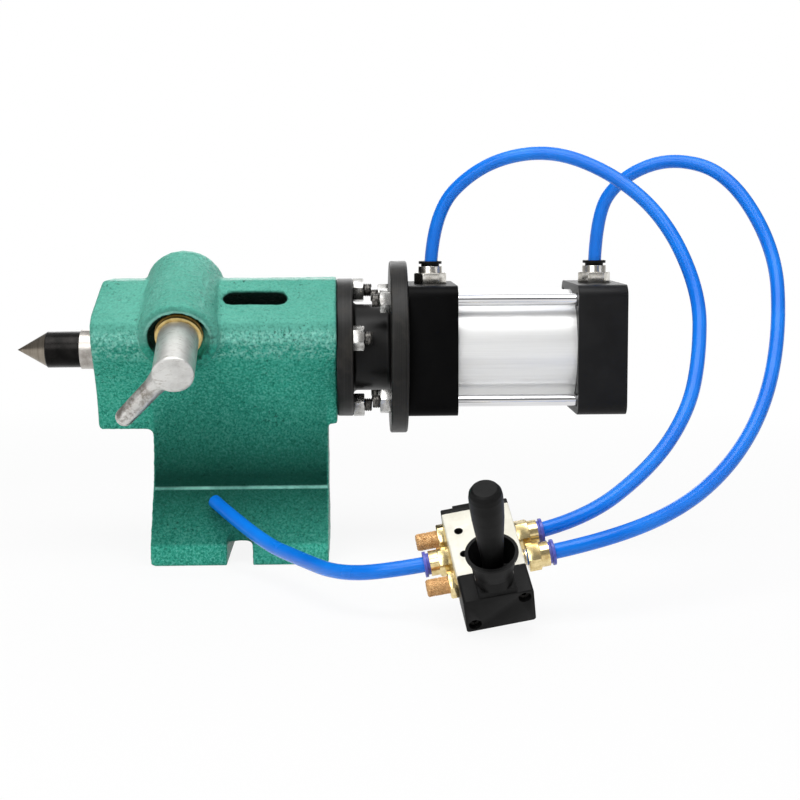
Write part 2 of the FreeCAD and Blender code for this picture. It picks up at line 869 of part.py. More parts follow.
def push_in_fitting(seat, axis, across, standoff, sizes):
    """A fitting on its seat and its release collar; sizes tell the two kinds apart."""
    thread, thread_length, flats, hex_height, body_diameter, body_height, collar_size = sizes
    lift = seat + axis * standoff
    height = hex_height + body_height
    body = hexagon(lift, axis, across, flats, hex_height)
    body = body.fuse(rod(lift + axis * (hex_height - 0.5), axis, body_diameter, body_height + 0.5))
    body = body.fuse(rod(seat - axis * thread_length, axis, thread, thread_length + standoff + 0.5))
    mouth = lift + axis * height
    body = body.cut([
        rod(mouth - axis * tube_insertion, axis, tube_diameter + 2 * sliding_gap, tube_insertion + 1),
        rod(mouth - axis * (collar_sleeve_length + collar_travel + 0.4), axis,
            collar_sleeve_diameter + 2 * sliding_gap, collar_sleeve_length + collar_travel + 2),
        rod(seat - axis * (thread_length + 1), axis, tube_bore, thread_length + height),
    ])
    face = mouth + axis * (collar_travel + 0.2)
    collar = rod(face, axis, collar_size, collar_flange_thickness)
    collar = collar.fuse(rod(face - axis * collar_sleeve_length, axis, collar_sleeve_diameter,
                             collar_sleeve_length + 0.5))
    collar = collar.cut(rod(face - axis * (collar_sleeve_length + 1), axis,
                            tube_diameter + 4 * sliding_gap, collar_sleeve_length + 5))
    return body, collar, mouth - axis * tube_insertion


port_sizes = (port_thread_diameter, port_thread_length, port_hex_flats, port_hex_height,
              port_body_diameter, port_body_height, collar_diameter)
valve_fitting_sizes = (valve_port_bore, valve_port_depth, valve_fitting_flats,
                       valve_fitting_hex_height, valve_fitting_body_diameter,
                       valve_fitting_body_height, valve_collar_diameter)


# Hand valve, modelled square in its own frame and then set down

valve_placement = FreeCAD.Placement(
    V(valve_x, valve_y, valve_z), FreeCAD.Rotation(valve_yaw, -valve_side_lift, valve_rear_lift))
body_front = housing_length
body_rear = housing_length + valve_body_length
valve_middle = valve_width / 2
lever_y = housing_length / 2
well_places = ((well_inset, well_inset), (valve_width - well_inset, valve_height - well_inset))
grip_bottom = valve_height + grip_start
grip_top = valve_height + grip_end
stem_top = grip_top - lever_stem_cover


def valve_point(x, y, z):
    return valve_placement.multVec(V(x, y, z))


def set_down(shape):
    placed = shape.copy()
    placed.Placement = valve_placement.multiply(placed.Placement)
    return placed


def valve_block(y0, y1, radius):
    """A length of the valve's rectangular section, with its long edges rounded."""
    corners = [V(0, y0, 0), V(valve_width, y0, 0), V(valve_width, y0, valve_height),
               V(0, y0, valve_height)]
    return rounded_outline(corners, [radius] * 4).extrude(V(0, y1 - y0, 0))


def spool_bore(y0, y1):
    return rod(V(valve_middle, y0, port_height), BACK, spool_diameter + 2 * running_gap, y1 - y0)


def valve_body():
    body = valve_block(body_front, body_rear, valve_edge)
    cutters = [spool_bore(body_front - 1, body_rear + 1)]
    for y in left_port_places:
        cutters.append(rod(V(-1, y, port_height), ALONG, valve_port_bore, valve_port_depth + 1))
        cutters.append(rod(V(-1, y, port_height), ALONG, tube_bore, valve_middle + 1))
    for y in right_port_places:
        cutters.append(rod(V(valve_width - valve_port_depth, y, port_height), ALONG,
                           valve_port_bore, valve_port_depth + 1))
        cutters.append(rod(V(valve_middle, y, port_height), ALONG, tube_bore, valve_middle + 1))
    for y in valve_hole_places:
        cutters.append(rod(V(valve_hole_inset, y, -1), UP, valve_hole_diameter, valve_height + 2))
    return body.cut(cutters)


def valve_end_cap():
    plate = valve_block(body_rear, body_rear + end_cap_length, valve_edge)
    pad_left = (valve_width - end_cap_pad_width) / 2
    pad = box(pad_left, pad_left + end_cap_pad_width, body_rear + end_cap_length - 1,
              body_rear + end_cap_length + end_cap_pad_length, 3, valve_height - 1)
    return plate.fuse(pad).removeSplitter()


def lever_housing():
    """The lever's housing: a block with screw wells and a square tower under the boot."""
    body = valve_block(0, housing_length, valve_edge * 2)
    low = valve_middle - housing_tower_side / 2
    tower = box(low, low + housing_tower_side, 0.5, housing_length - 0.5,
                valve_height - 1, valve_height + housing_tower_height)
    body = body.fuse(tower)
    cutters = [
        spool_bore(housing_front_wall, housing_length + 1),
        box(valve_middle - lever_slot_half, valve_middle + lever_slot_half, housing_front_wall,
            housing_length - housing_front_wall, port_height,
            valve_height + housing_tower_height + 1),
    ]
    for x, z in well_places:
        cutters.append(rod(V(x, -1, z), BACK, housing_well_diameter, housing_well_depth + 1))
    return body.cut(cutters)


def housing_screws():
    """Two cap screws, each at the bottom of its well in the housing."""
    screws = []
    height = housing_well_depth / 2
    for x, z in well_places:
        head = rod(V(x, housing_well_depth - height, z), BACK, housing_well_diameter - 1, height)
        socket = hexagon(V(x, housing_well_depth - height - 0.5, z), BACK, UP, height, 2.0, 0.1)
        screws.append(set_down(head.cut(socket)))
    return screws


def valve_spool():
    """The spool with two necks, and the cross slot that the lever's ball works in."""
    front = housing_front_wall + spool_travel + 0.5
    rear = body_rear - spool_travel - 0.4
    body = rod(V(valve_middle, front, port_height), BACK, spool_diameter, rear - front)
    cutters = []
    for y in right_port_places:
        cutters.append(ring(V(valve_middle, y - 3, port_height), BACK, spool_diameter + 1,
                            spool_neck_diameter, 6))
    ball_gap = lever_ball_diameter / 2 + sliding_gap * 2
    cutters.append(box(0, valve_width, lever_y - ball_gap, lever_y + ball_gap,
                       port_height - lever_slot_depth, valve_height))
    return body.cut(cutters)


def pivot_pin():
    length = housing_tower_side
    return rod(V(valve_middle - length / 2, lever_y, lever_pivot_height), ALONG,
               pivot_pin_diameter, length)


def lever_boot():
    """The flared cup round the lever's root, with the bearings of the pivot pin inside."""
    base = valve_height + housing_tower_height
    top = valve_height + boot_height
    base_radius = boot_base_diameter / 2
    neck_radius = base_radius + boot_flare_growth
    rim_radius = boot_rim_diameter / 2
    wall = boot_wall
    profile = [
        (base_radius - wall, base),
        (base_radius, base),
        (base_radius, base + boot_straight),
        (neck_radius, base + boot_flare_start),
        (rim_radius - boot_flare_growth, top - boot_lip),
        (rim_radius, top - boot_lip / 2),
        (rim_radius, top),
        (rim_radius - wall, top),
        (neck_radius - wall, base + boot_flare_start),
        (base_radius - wall, base + boot_straight),
    ]
    cup = turned(profile, V(valve_middle, lever_y, 0), UP, ALONG)
    inside = rod(V(valve_middle, lever_y, 0), UP, boot_base_diameter - wall, top)
    cheeks = []
    for side in (-1, 1):
        x0, x1 = sorted((valve_middle + side * (lever_slot_half + hole_gap / 2),
                         valve_middle + side * (base_radius - wall / 2)))
        cheek = box(x0, x1, lever_y - boot_cheek_half, lever_y + boot_cheek_half, base,
                    lever_pivot_height + boot_cheek_top)
        cheeks.append(cheek.common(inside))
    hole = rod(V(0, lever_y, lever_pivot_height), ALONG, pivot_pin_diameter, valve_width)
    return cup.fuse(cheeks).cut(hole)


def lever_shaft():
    """The steel lever: an eye on the pivot pin, a ball in the spool and a stem in the grip."""
    middle = V(valve_middle, lever_y, 0)
    stem = rod(middle + UP * port_height, UP, lever_stem_diameter, lever_pivot_height - port_height)
    upper = rod(middle + UP * (lever_pivot_height - 1), UP, lever_shaft_diameter,
                stem_top - lever_pivot_height + 1)
    ball = Part.makeSphere(lever_ball_diameter / 2, middle + UP * port_height)
    eye = rod(V(valve_middle - lever_eye_length / 2, lever_y, lever_pivot_height), ALONG,
              lever_eye_diameter, lever_eye_length)
    hole = rod(V(0, lever_y, lever_pivot_height), ALONG, pivot_pin_diameter + 2 * running_gap,
               valve_width)
    return stem.fuse([upper, ball, eye]).cut(hole)


def lever_grip():
    """The moulded grip: a slim neck that swells to a rounded, flat-topped handle."""
    length = grip_top - grip_bottom
    neck = grip_neck_diameter / 2
    waist = grip_waist_diameter / 2
    full = grip_diameter / 2
    rounding = grip_top_rounding
    profile = [
        (0, grip_bottom),
        (neck - 1, grip_bottom),
        (neck, grip_bottom + 1),
        (neck, grip_bottom + length * 0.1),
        (waist * 0.92, grip_bottom + length * 0.25),
        (waist * 1.03, grip_bottom + length * 0.43),
        (full * 0.96, grip_bottom + length * 0.64),
        (full, grip_bottom + length * 0.79),
        (full, grip_top - rounding * 2),
        (full - rounding * 0.16, grip_top - rounding),
        (full - rounding * 0.6, grip_top - rounding * 0.28),
        (full - rounding, grip_top),
        (0, grip_top),
    ]
    grip = turned(profile, V(valve_middle, lever_y, 0), UP, ALONG)
    bore = rod(V(valve_middle, lever_y, grip_bottom - 1), UP, lever_shaft_diameter,
               stem_top - grip_bottom + 1)
    return grip.cut(bore)


def silencer(y):
    """A brass hexagon plug with a sintered bronze element in front of it."""
    seat = V(0, y, port_height)
    left = ALONG * -1
    plug = hexagon(seat, left, UP, valve_fitting_flats - 0.5, silencer_hex_height)
    plug = plug.fuse(rod(seat + ALONG * valve_port_depth, left, valve_port_bore,
                         valve_port_depth + 1))
    element = rod(seat + left * silencer_hex_height, left, silencer_diameter, silencer_length - 0.6)
    element = element.fuse(Part.makeCone(silencer_diameter / 2, silencer_diameter / 2 - 0.6, 0.6,
                                         seat + left * (silencer_hex_height + silencer_length - 0.6),
                                         left))
    bore = rod(seat + ALONG * (valve_port_depth + 1), left, tube_bore,
               valve_port_depth + 1 + silencer_hex_height)
    return set_down(plug.cut(bore)), set_down(element.removeSplitter())


# Air tubes

def tube_path(points):
    """Straight runs joined by tangent arcs, and the smallest arc's radius."""
    corners = [V(*point) if isinstance(point, tuple) else point for point in points]
    edges = []
    radii = []
    last = corners[0]
    for i in range(1, len(corners) - 1):
        corner = corners[i]
        before = corners[i - 1] - corner
        after = corners[i + 1] - corner
        reach = 0.45 * min(before.Length, after.Length)
        before.normalize()
        after.normalize()
        turn = math.pi - before.getAngle(after)
        radius = reach / math.tan(turn / 2)
        radii.append(round(radius, 1))
        inner = (before + after).normalize()
        middle = corner + inner * (radius / math.cos(turn / 2) - radius)
        start = corner + before * reach
        end = corner + after * reach
        edges.append(Part.LineSegment(last, start).toShape())
        edges.append(Part.Arc(start, middle, end).toShape())
        last = end
    edges.append(Part.LineSegment(last, corners[-1]).toShape())
    return Part.Wire(edges), radii


def air_tube(name, points):
    """A plain solid tube along its route; prints its length, arcs and volume."""
    path, radii = tube_path(points)
    start = path.Edges[0].Vertexes[0].Point
    first = path.Edges[0].Vertexes[1].Point - start
    section = Part.Wire(Part.makeCircle(tube_diameter / 2, start, first))
    solid = path.makePipeShell([section], True, False)
    expected = math.pi * tube_diameter ** 2 / 4 * path.Length
    print(name, "length", round(path.Length, 1), "radii", radii,
          "volume share", round(solid.Volume / expected, 4))
    return solid


def main():
    write("tailstock_casting", casting())
    write("quill", quill())
    write("quill_key", quill_key())
    write("dead_centre", dead_centre())
    near, far = cotters()
    write("near_cotter", near)
    write("far_cotter", far)
    write("clamp_washer", clamp_washer())
    write("clamp_screw", clamp_screw())
    write("lock_handle", lock_handle())
    write("cylinder_adapter", adapter())
    studs, nuts = stud_group()
    write("adapter_studs", *studs)
    write("adapter_nuts", *nuts)
    write("front_end_cap", front_cap())
    write("rear_end_cap", rear_cap())
    write("cylinder_barrel", ring(centred(barrel_left), ALONG, barrel_bore + 2 * barrel_wall,
                                  barrel_bore, barrel_length))
    rods, flange_nuts, rear_nuts = tie_rods()
    write("tie_rods", *rods)
    write("flange_nuts", *flange_nuts)
    write("rear_tie_rod_nuts", *rear_nuts)
    bush_left = front_cap_left - adapter_spigot_length
    write("rod_guide_bush", ring(centred(bush_left), ALONG, rod_bush_diameter,
                                 piston_rod_diameter + 2 * running_gap, rod_bush_length))
    write("rod_seal", ring(centred(bush_left + rod_bush_length), ALONG, rod_seal_diameter,
                           piston_rod_diameter + 2 * running_gap, rod_seal_length))
    write("barrel_seals", seal_ring(barrel_left + 0.5),
          seal_ring(barrel_right - 0.5 - seal_groove_width))
    write("piston_rod", piston_rod())
    write("rod_lock_nut", axis_nut(quill_right, rod_nut_flats, rod_nut_height, rod_thread_diameter))
    write("piston", piston())
    write("piston_seal", piston_seal())
    write("piston_nut", axis_nut(piston_right, piston_nut_flats, piston_nut_height,
                                 piston_thread_diameter))

    front_body, front_collar, front_end = push_in_fitting(
        V(front_port_x, 0, cap_top), UP, ALONG, 0, port_sizes)
    rear_body, rear_collar, rear_end = push_in_fitting(
        V(rear_port_x, 0, cap_top), UP, ALONG, 0, port_sizes)
    write("front_port_fitting", front_body)
    write("front_port_collar", front_collar)
    write("rear_port_fitting", rear_body)
    write("rear_port_collar", rear_collar)

    write("valve_body", set_down(valve_body()))
    write("valve_end_cap", set_down(valve_end_cap()))
    write("lever_housing", set_down(lever_housing()))
    write("housing_screws", *housing_screws())
    write("valve_spool", set_down(valve_spool()))
    write("lever_pivot_pin", set_down(pivot_pin()))
    write("lever_boot", set_down(lever_boot()))
    write("lever_shaft", set_down(lever_shaft()))
    write("lever_grip", set_down(lever_grip()))
    front_plug, front_element = silencer(left_port_places[0])
    rear_plug, rear_element = silencer(left_port_places[2])
    write("silencer_plugs", front_plug, rear_plug)
    write("silencer_elements", front_element, rear_element)

    right = valve_placement.Rotation.multVec(ALONG)
    upward = valve_placement.Rotation.multVec(UP)
    supply_seat = valve_point(0, left_port_places[1], port_height)
    supply_body, supply_collar, supply_end = push_in_fitting(
        supply_seat, right * -1, upward, 0, valve_fitting_sizes)
    write("supply_fitting", supply_body)
    write("supply_collar", supply_collar)
    outlet_ends = []
    for letter, y, standoff in zip("ab", right_port_places, outlet_standoffs):
        seat = valve_point(valve_width, y, port_height)
        body, collar, end = push_in_fitting(seat, right, upward, standoff, valve_fitting_sizes)
        write("outlet_fitting_" + letter, body)
        write("outlet_collar_" + letter, collar)
        outlet_ends.append(end)

    reach = tube_insertion + tube_start_gap
    rise = UP * tube_port_rise
    write("front_port_tube", air_tube("front port tube", [
        front_end, front_end + rise, *front_tube_points,
        outlet_ends[1] + right * reach, outlet_ends[1]]))
    write("rear_port_tube", air_tube("rear port tube", [
        rear_end, rear_end + rise, *rear_tube_points,
        outlet_ends[0] + right * reach, outlet_ends[0]]))
    write("supply_tube", air_tube("supply tube", [supply_end, supply_end - right * reach,
          *supply_tube_points]))


main()
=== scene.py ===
"""Finishes, fine detail, air tubes, light and camera of the pneumatic lathe tailstock."""
import json
import math

import bmesh
import bpy
from mathutils import Matrix, Vector, noise


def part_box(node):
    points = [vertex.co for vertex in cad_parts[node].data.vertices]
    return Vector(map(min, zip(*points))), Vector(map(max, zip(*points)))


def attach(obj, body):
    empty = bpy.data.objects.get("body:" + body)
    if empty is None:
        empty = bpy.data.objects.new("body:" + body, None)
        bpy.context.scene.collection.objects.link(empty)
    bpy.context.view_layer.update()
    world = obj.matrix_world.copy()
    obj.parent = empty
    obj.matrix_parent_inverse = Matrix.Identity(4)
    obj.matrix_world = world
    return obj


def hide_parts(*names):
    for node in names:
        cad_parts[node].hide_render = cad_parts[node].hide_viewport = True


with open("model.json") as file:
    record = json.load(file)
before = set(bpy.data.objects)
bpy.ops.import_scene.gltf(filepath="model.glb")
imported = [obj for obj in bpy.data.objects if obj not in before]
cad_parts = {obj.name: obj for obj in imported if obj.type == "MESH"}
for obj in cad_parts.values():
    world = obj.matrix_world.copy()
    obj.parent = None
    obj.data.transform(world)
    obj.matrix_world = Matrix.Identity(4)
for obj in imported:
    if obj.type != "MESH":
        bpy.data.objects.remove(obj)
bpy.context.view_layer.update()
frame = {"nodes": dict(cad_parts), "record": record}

nodes = frame["nodes"]
slot_of = {part["node"]: part["material_slot"] for part in frame["record"]["subparts"]}
MM = 0.001

# The camera, worked out from the photograph's 800 by 800 frame
view_azimuth = -1.825
view_elevation = 6.8
view_roll = -0.296
view_target = Vector((0.09666, 0.0, 0.09215))
view_distance = 0.9666
focal_pixels = 1570.0
picture_pixels = 800.0
sensor_mm = 36.0
nearest_shown = 0.05

# Light: the world, and the name, place, size and power of each lamp
world_strength = 0.07
lamp_target = (0.08, 0.0, 0.12)
lamps = (
    ("top_light", (0.05, -0.45, 1.2), (1.3, 0.9), 14.0),
    ("front_light", (-0.45, -1.2, 0.7), (0.9, 0.7), 6.5),
    ("right_light", (1.2, -0.6, 0.6), (0.5, 0.9), 1.5),
    ("back_light", (0.1, 1.3, 0.7), (1.1, 0.8), 6.0),
)
gloss_bands = ((0.05, 1.0), (0.16, 0.22), (0.66, 0.16), (0.86, 1.0))    # height and brightness

# The floor, and how its share of plain white grows with the distance from the middle
floor_half_side = 5.0
floor_drop = 0.2 * MM
floor_colour = (0.86, 0.86, 0.86)
floor_roughness = 0.9
floor_near, floor_far = 0.35, 0.8
floor_white_near, floor_white_far = 0.9, 1.0

# Places on the tailstock, in metres, that the finishes and the skins follow
head_low, head_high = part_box("tailstock_casting")
axis_height = 0.125
column_end = 0.0525                          # half of the column's length
clamp_start = (-0.033, -0.0519, 0.1344)      # middle of the clamp boss's face
clamp_inward = (0.0, 0.866, 0.5)             # and the way that its bore runs
slot_middle = (0.0103, -0.0276, 0.1575)      # middle of the drift slot's mouth
slot_inward = (0.0, 0.6166, -0.7873)
centre_head_end = head_low[0] - 0.012        # where the centre's head meets its collar
centre_cone_end = centre_head_end - 0.021    # where its cone meets its head

# The skins of the casting and the handle
casting_voxel = 1.31 * MM
casting_smoothing = 3
casting_waves = ((360, 0.00024), (900, 0.0001), (45, 0.00022))     # waves per metre, height
bored_radius = 21.8 * MM                     # the quill's bore, which isn't roughened
machined_fade = 2.0 * MM                     # the roughness fades out towards the machined faces
nose_slope = 3.7 * MM                        # the head's upper left end leans back by this
nose_slope_start = 0.148                     # from this height on
nose_slope_height = 0.019                    # over this height
nose_slope_length = 25.0 * MM                # and fades out over this length
handle_voxel = 0.6 * MM
handle_smoothing = 4

# Broken edges: width, segments and the nodes that have them
broken_edges = (
    (0.5 * MM, 3, ("cylinder_adapter", "front_end_cap", "rear_end_cap")),
    (0.25 * MM, 2, ("adapter_nuts", "flange_nuts", "rear_tie_rod_nuts")),
    (0.2 * MM, 2, ("front_port_fitting", "rear_port_fitting", "supply_fitting", "outlet_fitting_a",
                   "outlet_fitting_b", "silencer_plugs", "front_port_collar", "rear_port_collar",
                   "supply_collar", "outlet_collar_a", "outlet_collar_b")),
    (0.3 * MM, 2, ("valve_body", "valve_end_cap", "lever_housing", "clamp_washer")),
)
weld_distance = 2e-6
flat_angle = 0.4                             # degrees, between triangles of one flat
edge_angle = 28.0                            # degrees, from which an edge is broken

# Threads of the studs and tie rods, the chromed rods between them, and the outlet's thread
thread_length = 4.9 * MM
stud_thread = {"Core_Radius": 3.42 * MM, "Ridge": 0.62 * MM, "Pitch": 1.25 * MM}
rod_radius = 4.0 * MM
rod_waist = 3.5 * MM
rod_in_cap = 6.0 * MM
rod_shoulder = 0.5 * MM
outlet_thread_size = {"Core_Radius": 3.85 * MM, "Ridge": 0.45 * MM, "Pitch": 0.9 * MM}
outlet_standoff = 3.0 * MM
outlet_seat_back = 2.0 * MM

# Air tubes: the lengths that the photograph shows, and the routes in millimetres
tube_diameter = 0.008
front_tube_length = 0.464
rear_tube_length = 0.471
supply_tube_length = 0.211
front_tube_route = (
    (115.45, 0, 162.25), (115.45, 0, 204.25), (144, -8, 235), (183, -22, 244), (219, -38, 230),
    (248, -56, 203), (264, -77, 161), (260, -97, 126), (250, -116, 98), (226, -138, 71),
    (183.1, -166.9, 46.95), (149.6, -168, 41.1),
)
rear_tube_route = (
    (215.85, 0, 162.25), (215.85, 0, 204.25), (231, -7, 228), (260, -17, 239), (291, -32, 228),
    (313, -54, 184), (309, -81, 139), (295, -107, 100), (270, -132, 70), (235, -158, 50),
    (187.4, -180.2, 38.7), (153.95, -181.3, 32.9),
)
supply_tube_route = (
    (117.5, -175.6, 31.1), (84, -176.8, 25.3), (58, -156, 20), (38, -114, 18.5),
    (13.5, -72, 20), (-15.4, -34.2, 36.6),
)


# Camera

def view_axes():
    """The camera's right, up and forward directions."""
    azimuth = math.radians(view_azimuth)
    elevation = math.radians(view_elevation)
    forward = Vector((-math.sin(azimuth) * math.cos(elevation),
                      math.cos(azimuth) * math.cos(elevation), -math.sin(elevation)))
    right = Vector((math.cos(azimuth), math.sin(azimuth), 0))
    return right, right.cross(forward), forward


def add_camera():
    right, up, forward = view_axes()
    roll = math.radians(view_roll)
    turned_right = right * math.cos(roll) + up * math.sin(roll)
    turned_up = up * math.cos(roll) - right * math.sin(roll)
    camera = bpy.data.objects.new("camera", bpy.data.cameras.new("camera"))
    camera.data.sensor_width = sensor_mm
    camera.data.lens = focal_pixels * sensor_mm / picture_pixels
    camera.data.clip_start = nearest_shown
    place = Matrix((turned_right, turned_up, -forward)).transposed().to_4x4()
    place.translation = view_target - forward * view_distance
    camera.matrix_world = place
    bpy.context.collection.objects.link(camera)
    bpy.context.scene.camera = camera


# Node trees

def add_node(tree, kind, inputs=(), **settings):
    """A new node with its settings, and each of its inputs linked or set."""
    node = tree.nodes.new(kind)
    for setting, value in settings.items():
        setattr(node, setting, value)
    for socket, value in dict(inputs).items():
        if isinstance(value, bpy.types.NodeSocket):
            tree.links.new(value, node.inputs[socket])
        else:
            node.inputs[socket].default_value = value
    return node


def add_math(tree, operation, a, b=0.0):
    return add_node(tree, "ShaderNodeMath", {0: a, 1: b}, operation=operation).outputs[0]


class Finish:
    """One material's node tree, with short calls for the nodes that the finishes use."""

    def __init__(self, name, colour, metallic=0.0, roughness=0.5, **sockets):
        self.material = bpy.data.materials.new(name)
        self.material.use_nodes = True
        self.tree = self.material.node_tree
        self.surface = self.tree.nodes["Principled BSDF"]
        self.place = self.add("ShaderNodeTexCoord").outputs["Object"]
        self.surface.inputs["Base Color"].default_value = (*colour, 1)
        self.surface.inputs["Metallic"].default_value = metallic
        self.surface.inputs["Roughness"].default_value = roughness
        for socket, value in sockets.items():
            self.surface.inputs[socket.replace("_", " ")].default_value = value
        self.normal = None

    def add(self, kind, inputs=(), **settings):
        return add_node(self.tree, kind, inputs, **settings)

    def link(self, output, socket):
        self.tree.links.new(output, self.surface.inputs[socket])

    def paint(self, colour):
        self.link(colour, "Base Color")

    def roughen(self, pattern, low, high, smoothest, roughest):
        """Roughness from smoothest to roughest, as the pattern goes from low to high."""
        self.link(self.span(pattern, low, high, smoothest, roughest), "Roughness")

    def stretched(self, scale, turn=(0, 0, 0)):
        return self.add("ShaderNodeMapping", {"Vector": self.place, "Scale": scale,
                                              "Rotation": turn}).outputs["Vector"]

    def noise(self, scale, detail=3.0, rough=0.5, place=None):
        return self.add("ShaderNodeTexNoise", {"Vector": place or self.place, "Scale": scale,
                                               "Detail": detail, "Roughness": rough}).outputs["Fac"]

    def cells(self, scale):
        return self.add("ShaderNodeTexVoronoi", {"Vector": self.place, "Scale": scale},
                        feature="F1").outputs["Distance"]

    def span(self, value, low, high, to_low=0.0, to_high=1.0):
        return self.add("ShaderNodeMapRange", {"Value": value, "From Min": low, "From Max": high,
                                               "To Min": to_low, "To Max": to_high}
                        ).outputs["Result"]

    def math(self, operation, a, b=0.0):
        return add_math(self.tree, operation, a, b)

    def both(self, *factors):
        """The product of the factors."""
        result = factors[0]
        for factor in factors[1:]:
            result = self.math("MULTIPLY", result, factor)
        return result

    def mix(self, factor, a, b):
        a, b = (value if isinstance(value, bpy.types.NodeSocket) else (*value, 1)
                for value in (a, b))
        return self.add("ShaderNodeMix", {0: factor, 6: a, 7: b}, data_type="RGBA").outputs[2]

    def over(self, colour, overlay, pattern, start, full, share=1.0):
        """A colour with an overlay colour over it, where the pattern goes from start to full."""
        return self.mix(self.span(pattern, start, full, 0.0, share), colour, overlay)

    def axis(self, letter):
        return self.add("ShaderNodeSeparateXYZ", {"Vector": self.place}).outputs[letter]

    def off_middle(self, letter):
        """Distance from the middle plane across an axis."""
        return self.math("ABSOLUTE", self.axis(letter))

    def bump(self, height, strength, distance):
        """Adds a bump on top of those before it."""
        node = self.add("ShaderNodeBump", {"Height": height, "Strength": strength,
                                           "Distance": distance})
        if self.normal:
            self.tree.links.new(self.normal, node.inputs["Normal"])
        self.normal = node.outputs["Normal"]
        self.link(self.normal, "Normal")

    def vector(self, operation, a, b=None):
        inputs = {0: a} if b is None else {0: a, 1: b}
        return self.add("ShaderNodeVectorMath", inputs, operation=operation).outputs

    def depth(self, origin, direction):
        """Distance past a plane through origin, along direction."""
        away = self.vector("SUBTRACT", self.place, origin)["Vector"]
        return self.vector("DOT_PRODUCT", away, direction)["Value"]

    def off_axis(self, origin, direction):
        """Distance from the line through origin along direction."""
        away = self.vector("SUBTRACT", self.place, origin)["Vector"]
        sideways = self.vector("CROSS_PRODUCT", away, direction)["Vector"]
        return self.vector("LENGTH", sideways)["Value"]


# Finishes: colours are linear, patterns are in waves per metre, and each mask's edge is
# the pair of places, in metres, where it starts and where it is full

def green_enamel():
    """Gloss green enamel over rough sand-cast iron, with pits and dirt, painted shade in the
    hollows and the slot, and painted sheen and highlights on the head.
    """
    f = Finish("green_enamel", (0.045, 0.30, 0.215), roughness=0.34, Specular_IOR_Level=0.22,
               Specular_Tint=(0.25, 1.0, 0.8, 1.0))
    height = f.axis("Z")
    off_clamp = f.off_axis(clamp_start, clamp_inward)
    broad = f.noise(26, 4, 0.55)
    grain = f.noise(720, 5, 0.68)
    lumps = f.noise(330, 3, 0.55)

    sheen_start, calm_top, boss_side = (0.1295, 0.133), (0.143, 0.137), (0.0225, 0.0245)
    band_bottom, band_top, band_front = (0.112, 0.116), (0.140, 0.137), (-0.038, -0.041)
    # Painted sheen: the head's top is made lighter, in broad patches.
    top_sheen = f.both(f.span(height, *sheen_start), f.span(broad, 0.3, 0.6, 0.35, 0.6))
    calm = f.math("MINIMUM", f.span(height, *calm_top, 0.4, 1.0),
                  f.span(off_clamp, *boss_side, 0.3, 1.0))
    light_grain = f.both(calm, f.span(grain, 0.51, 0.62, 0.0, 0.5))
    dark_grain = f.both(calm, f.span(grain, 0.49, 0.37, 0.0, 0.72))
    band = f.both(f.span(height, *band_bottom), f.span(height, *band_top),
                  f.span(f.axis("Y"), *band_front), f.span(off_clamp, *boss_side))
    # Painted glints: bright specks of highlight on the head's front band.
    band_glint = f.both(band, f.span(f.noise(420, 4, 0.7), 0.47, 0.62, 0.0, 0.7))
    pits = f.span(f.cells(430), 0.13, 0.05, 0.0, 0.6)
    speckle = f.both(f.span(f.noise(430, 3, 0.7), 0.58, 0.66),
                     f.span(f.noise(38, 2), 0.5, 0.64), 0.8)

    colour = f.over((0.034, 0.33, 0.235), (0.052, 0.42, 0.30), broad, 0.35, 0.7)
    # These colours mix real grain, pits, specks and dirt with painted sheen, glints, highlights,
    # shade and shadow.
    for mask, overlay in ((top_sheen, (0.20, 0.52, 0.43)), (light_grain, (0.19, 0.64, 0.53)),
                        (dark_grain, (0.005, 0.13, 0.088)), (band_glint, (0.34, 0.76, 0.65)),
                        (pits, (0.004, 0.045, 0.03)), (speckle, (0.004, 0.03, 0.022)),
                        (recess_shade(f), (0.0, 0.022, 0.014)), (ridge_highlight(f), (0.33, 0.74, 0.64)),
                        (clamp_shade_and_dirt(f), (0.006, 0.014, 0.010)), (clamp_lip_highlight(f), (0.36, 0.76, 0.66)),
                        (slot_shadow(f), (0.004, 0.010, 0.008))):
        colour = f.mix(mask, colour, overlay)
    f.paint(colour)
    f.roughen(f.noise(170, 3), 0.3, 0.7, 0.24, 0.44)
    f.bump(lumps, 1.0, 0.0013)
    f.bump(grain, 1.0, 0.0008)
    return f.material


def ridge_highlight(f):
    """Painted highlight along the ridge where the column's hollow meets the foot's slope."""
    ridge_bottom, ridge_top = (0.0418, 0.0424), (0.0442, 0.0434)
    ridge_depth = (0.036, 0.034)
    short_of_end = (column_end - 0.0001, column_end - 0.0009)
    height = f.axis("Z")
    return f.both(f.span(height, *ridge_bottom), f.span(height, *ridge_top),
                  f.span(f.off_middle("X"), *short_of_end), f.span(f.off_middle("Y"), *ridge_depth),
                  f.span(f.noise(60, 3), 0.35, 0.6, 0.3, 0.8))


def recess_shade(f):
    """Painted shade in the column's hollow and on the foot's slope below it."""
    hollow_height, hollow_depth, hollow_bottom = (0.105, 0.05), (0.037, 0.031), (0.042, 0.0435)
    slope_top, slope_depth, slope_bottom = (0.0445, 0.042), (0.047, 0.024), (0.0115, 0.0135)
    short_of_end = (column_end - 0.0001, column_end - 0.0012)
    height = f.axis("Z")
    across = f.off_middle("Y")
    hollow = f.both(f.span(height, *hollow_bottom), f.span(height, *hollow_height, 0.0, 0.97),
                    f.span(across, *hollow_depth))
    slope = f.both(f.span(height, *slope_top), f.span(across, *slope_depth, 0.45, 0.86),
                   f.span(height, *slope_bottom))
    return f.both(f.math("MAXIMUM", hollow, slope),
                  f.span(f.off_middle("X"), *short_of_end, 0.3, 1.0))


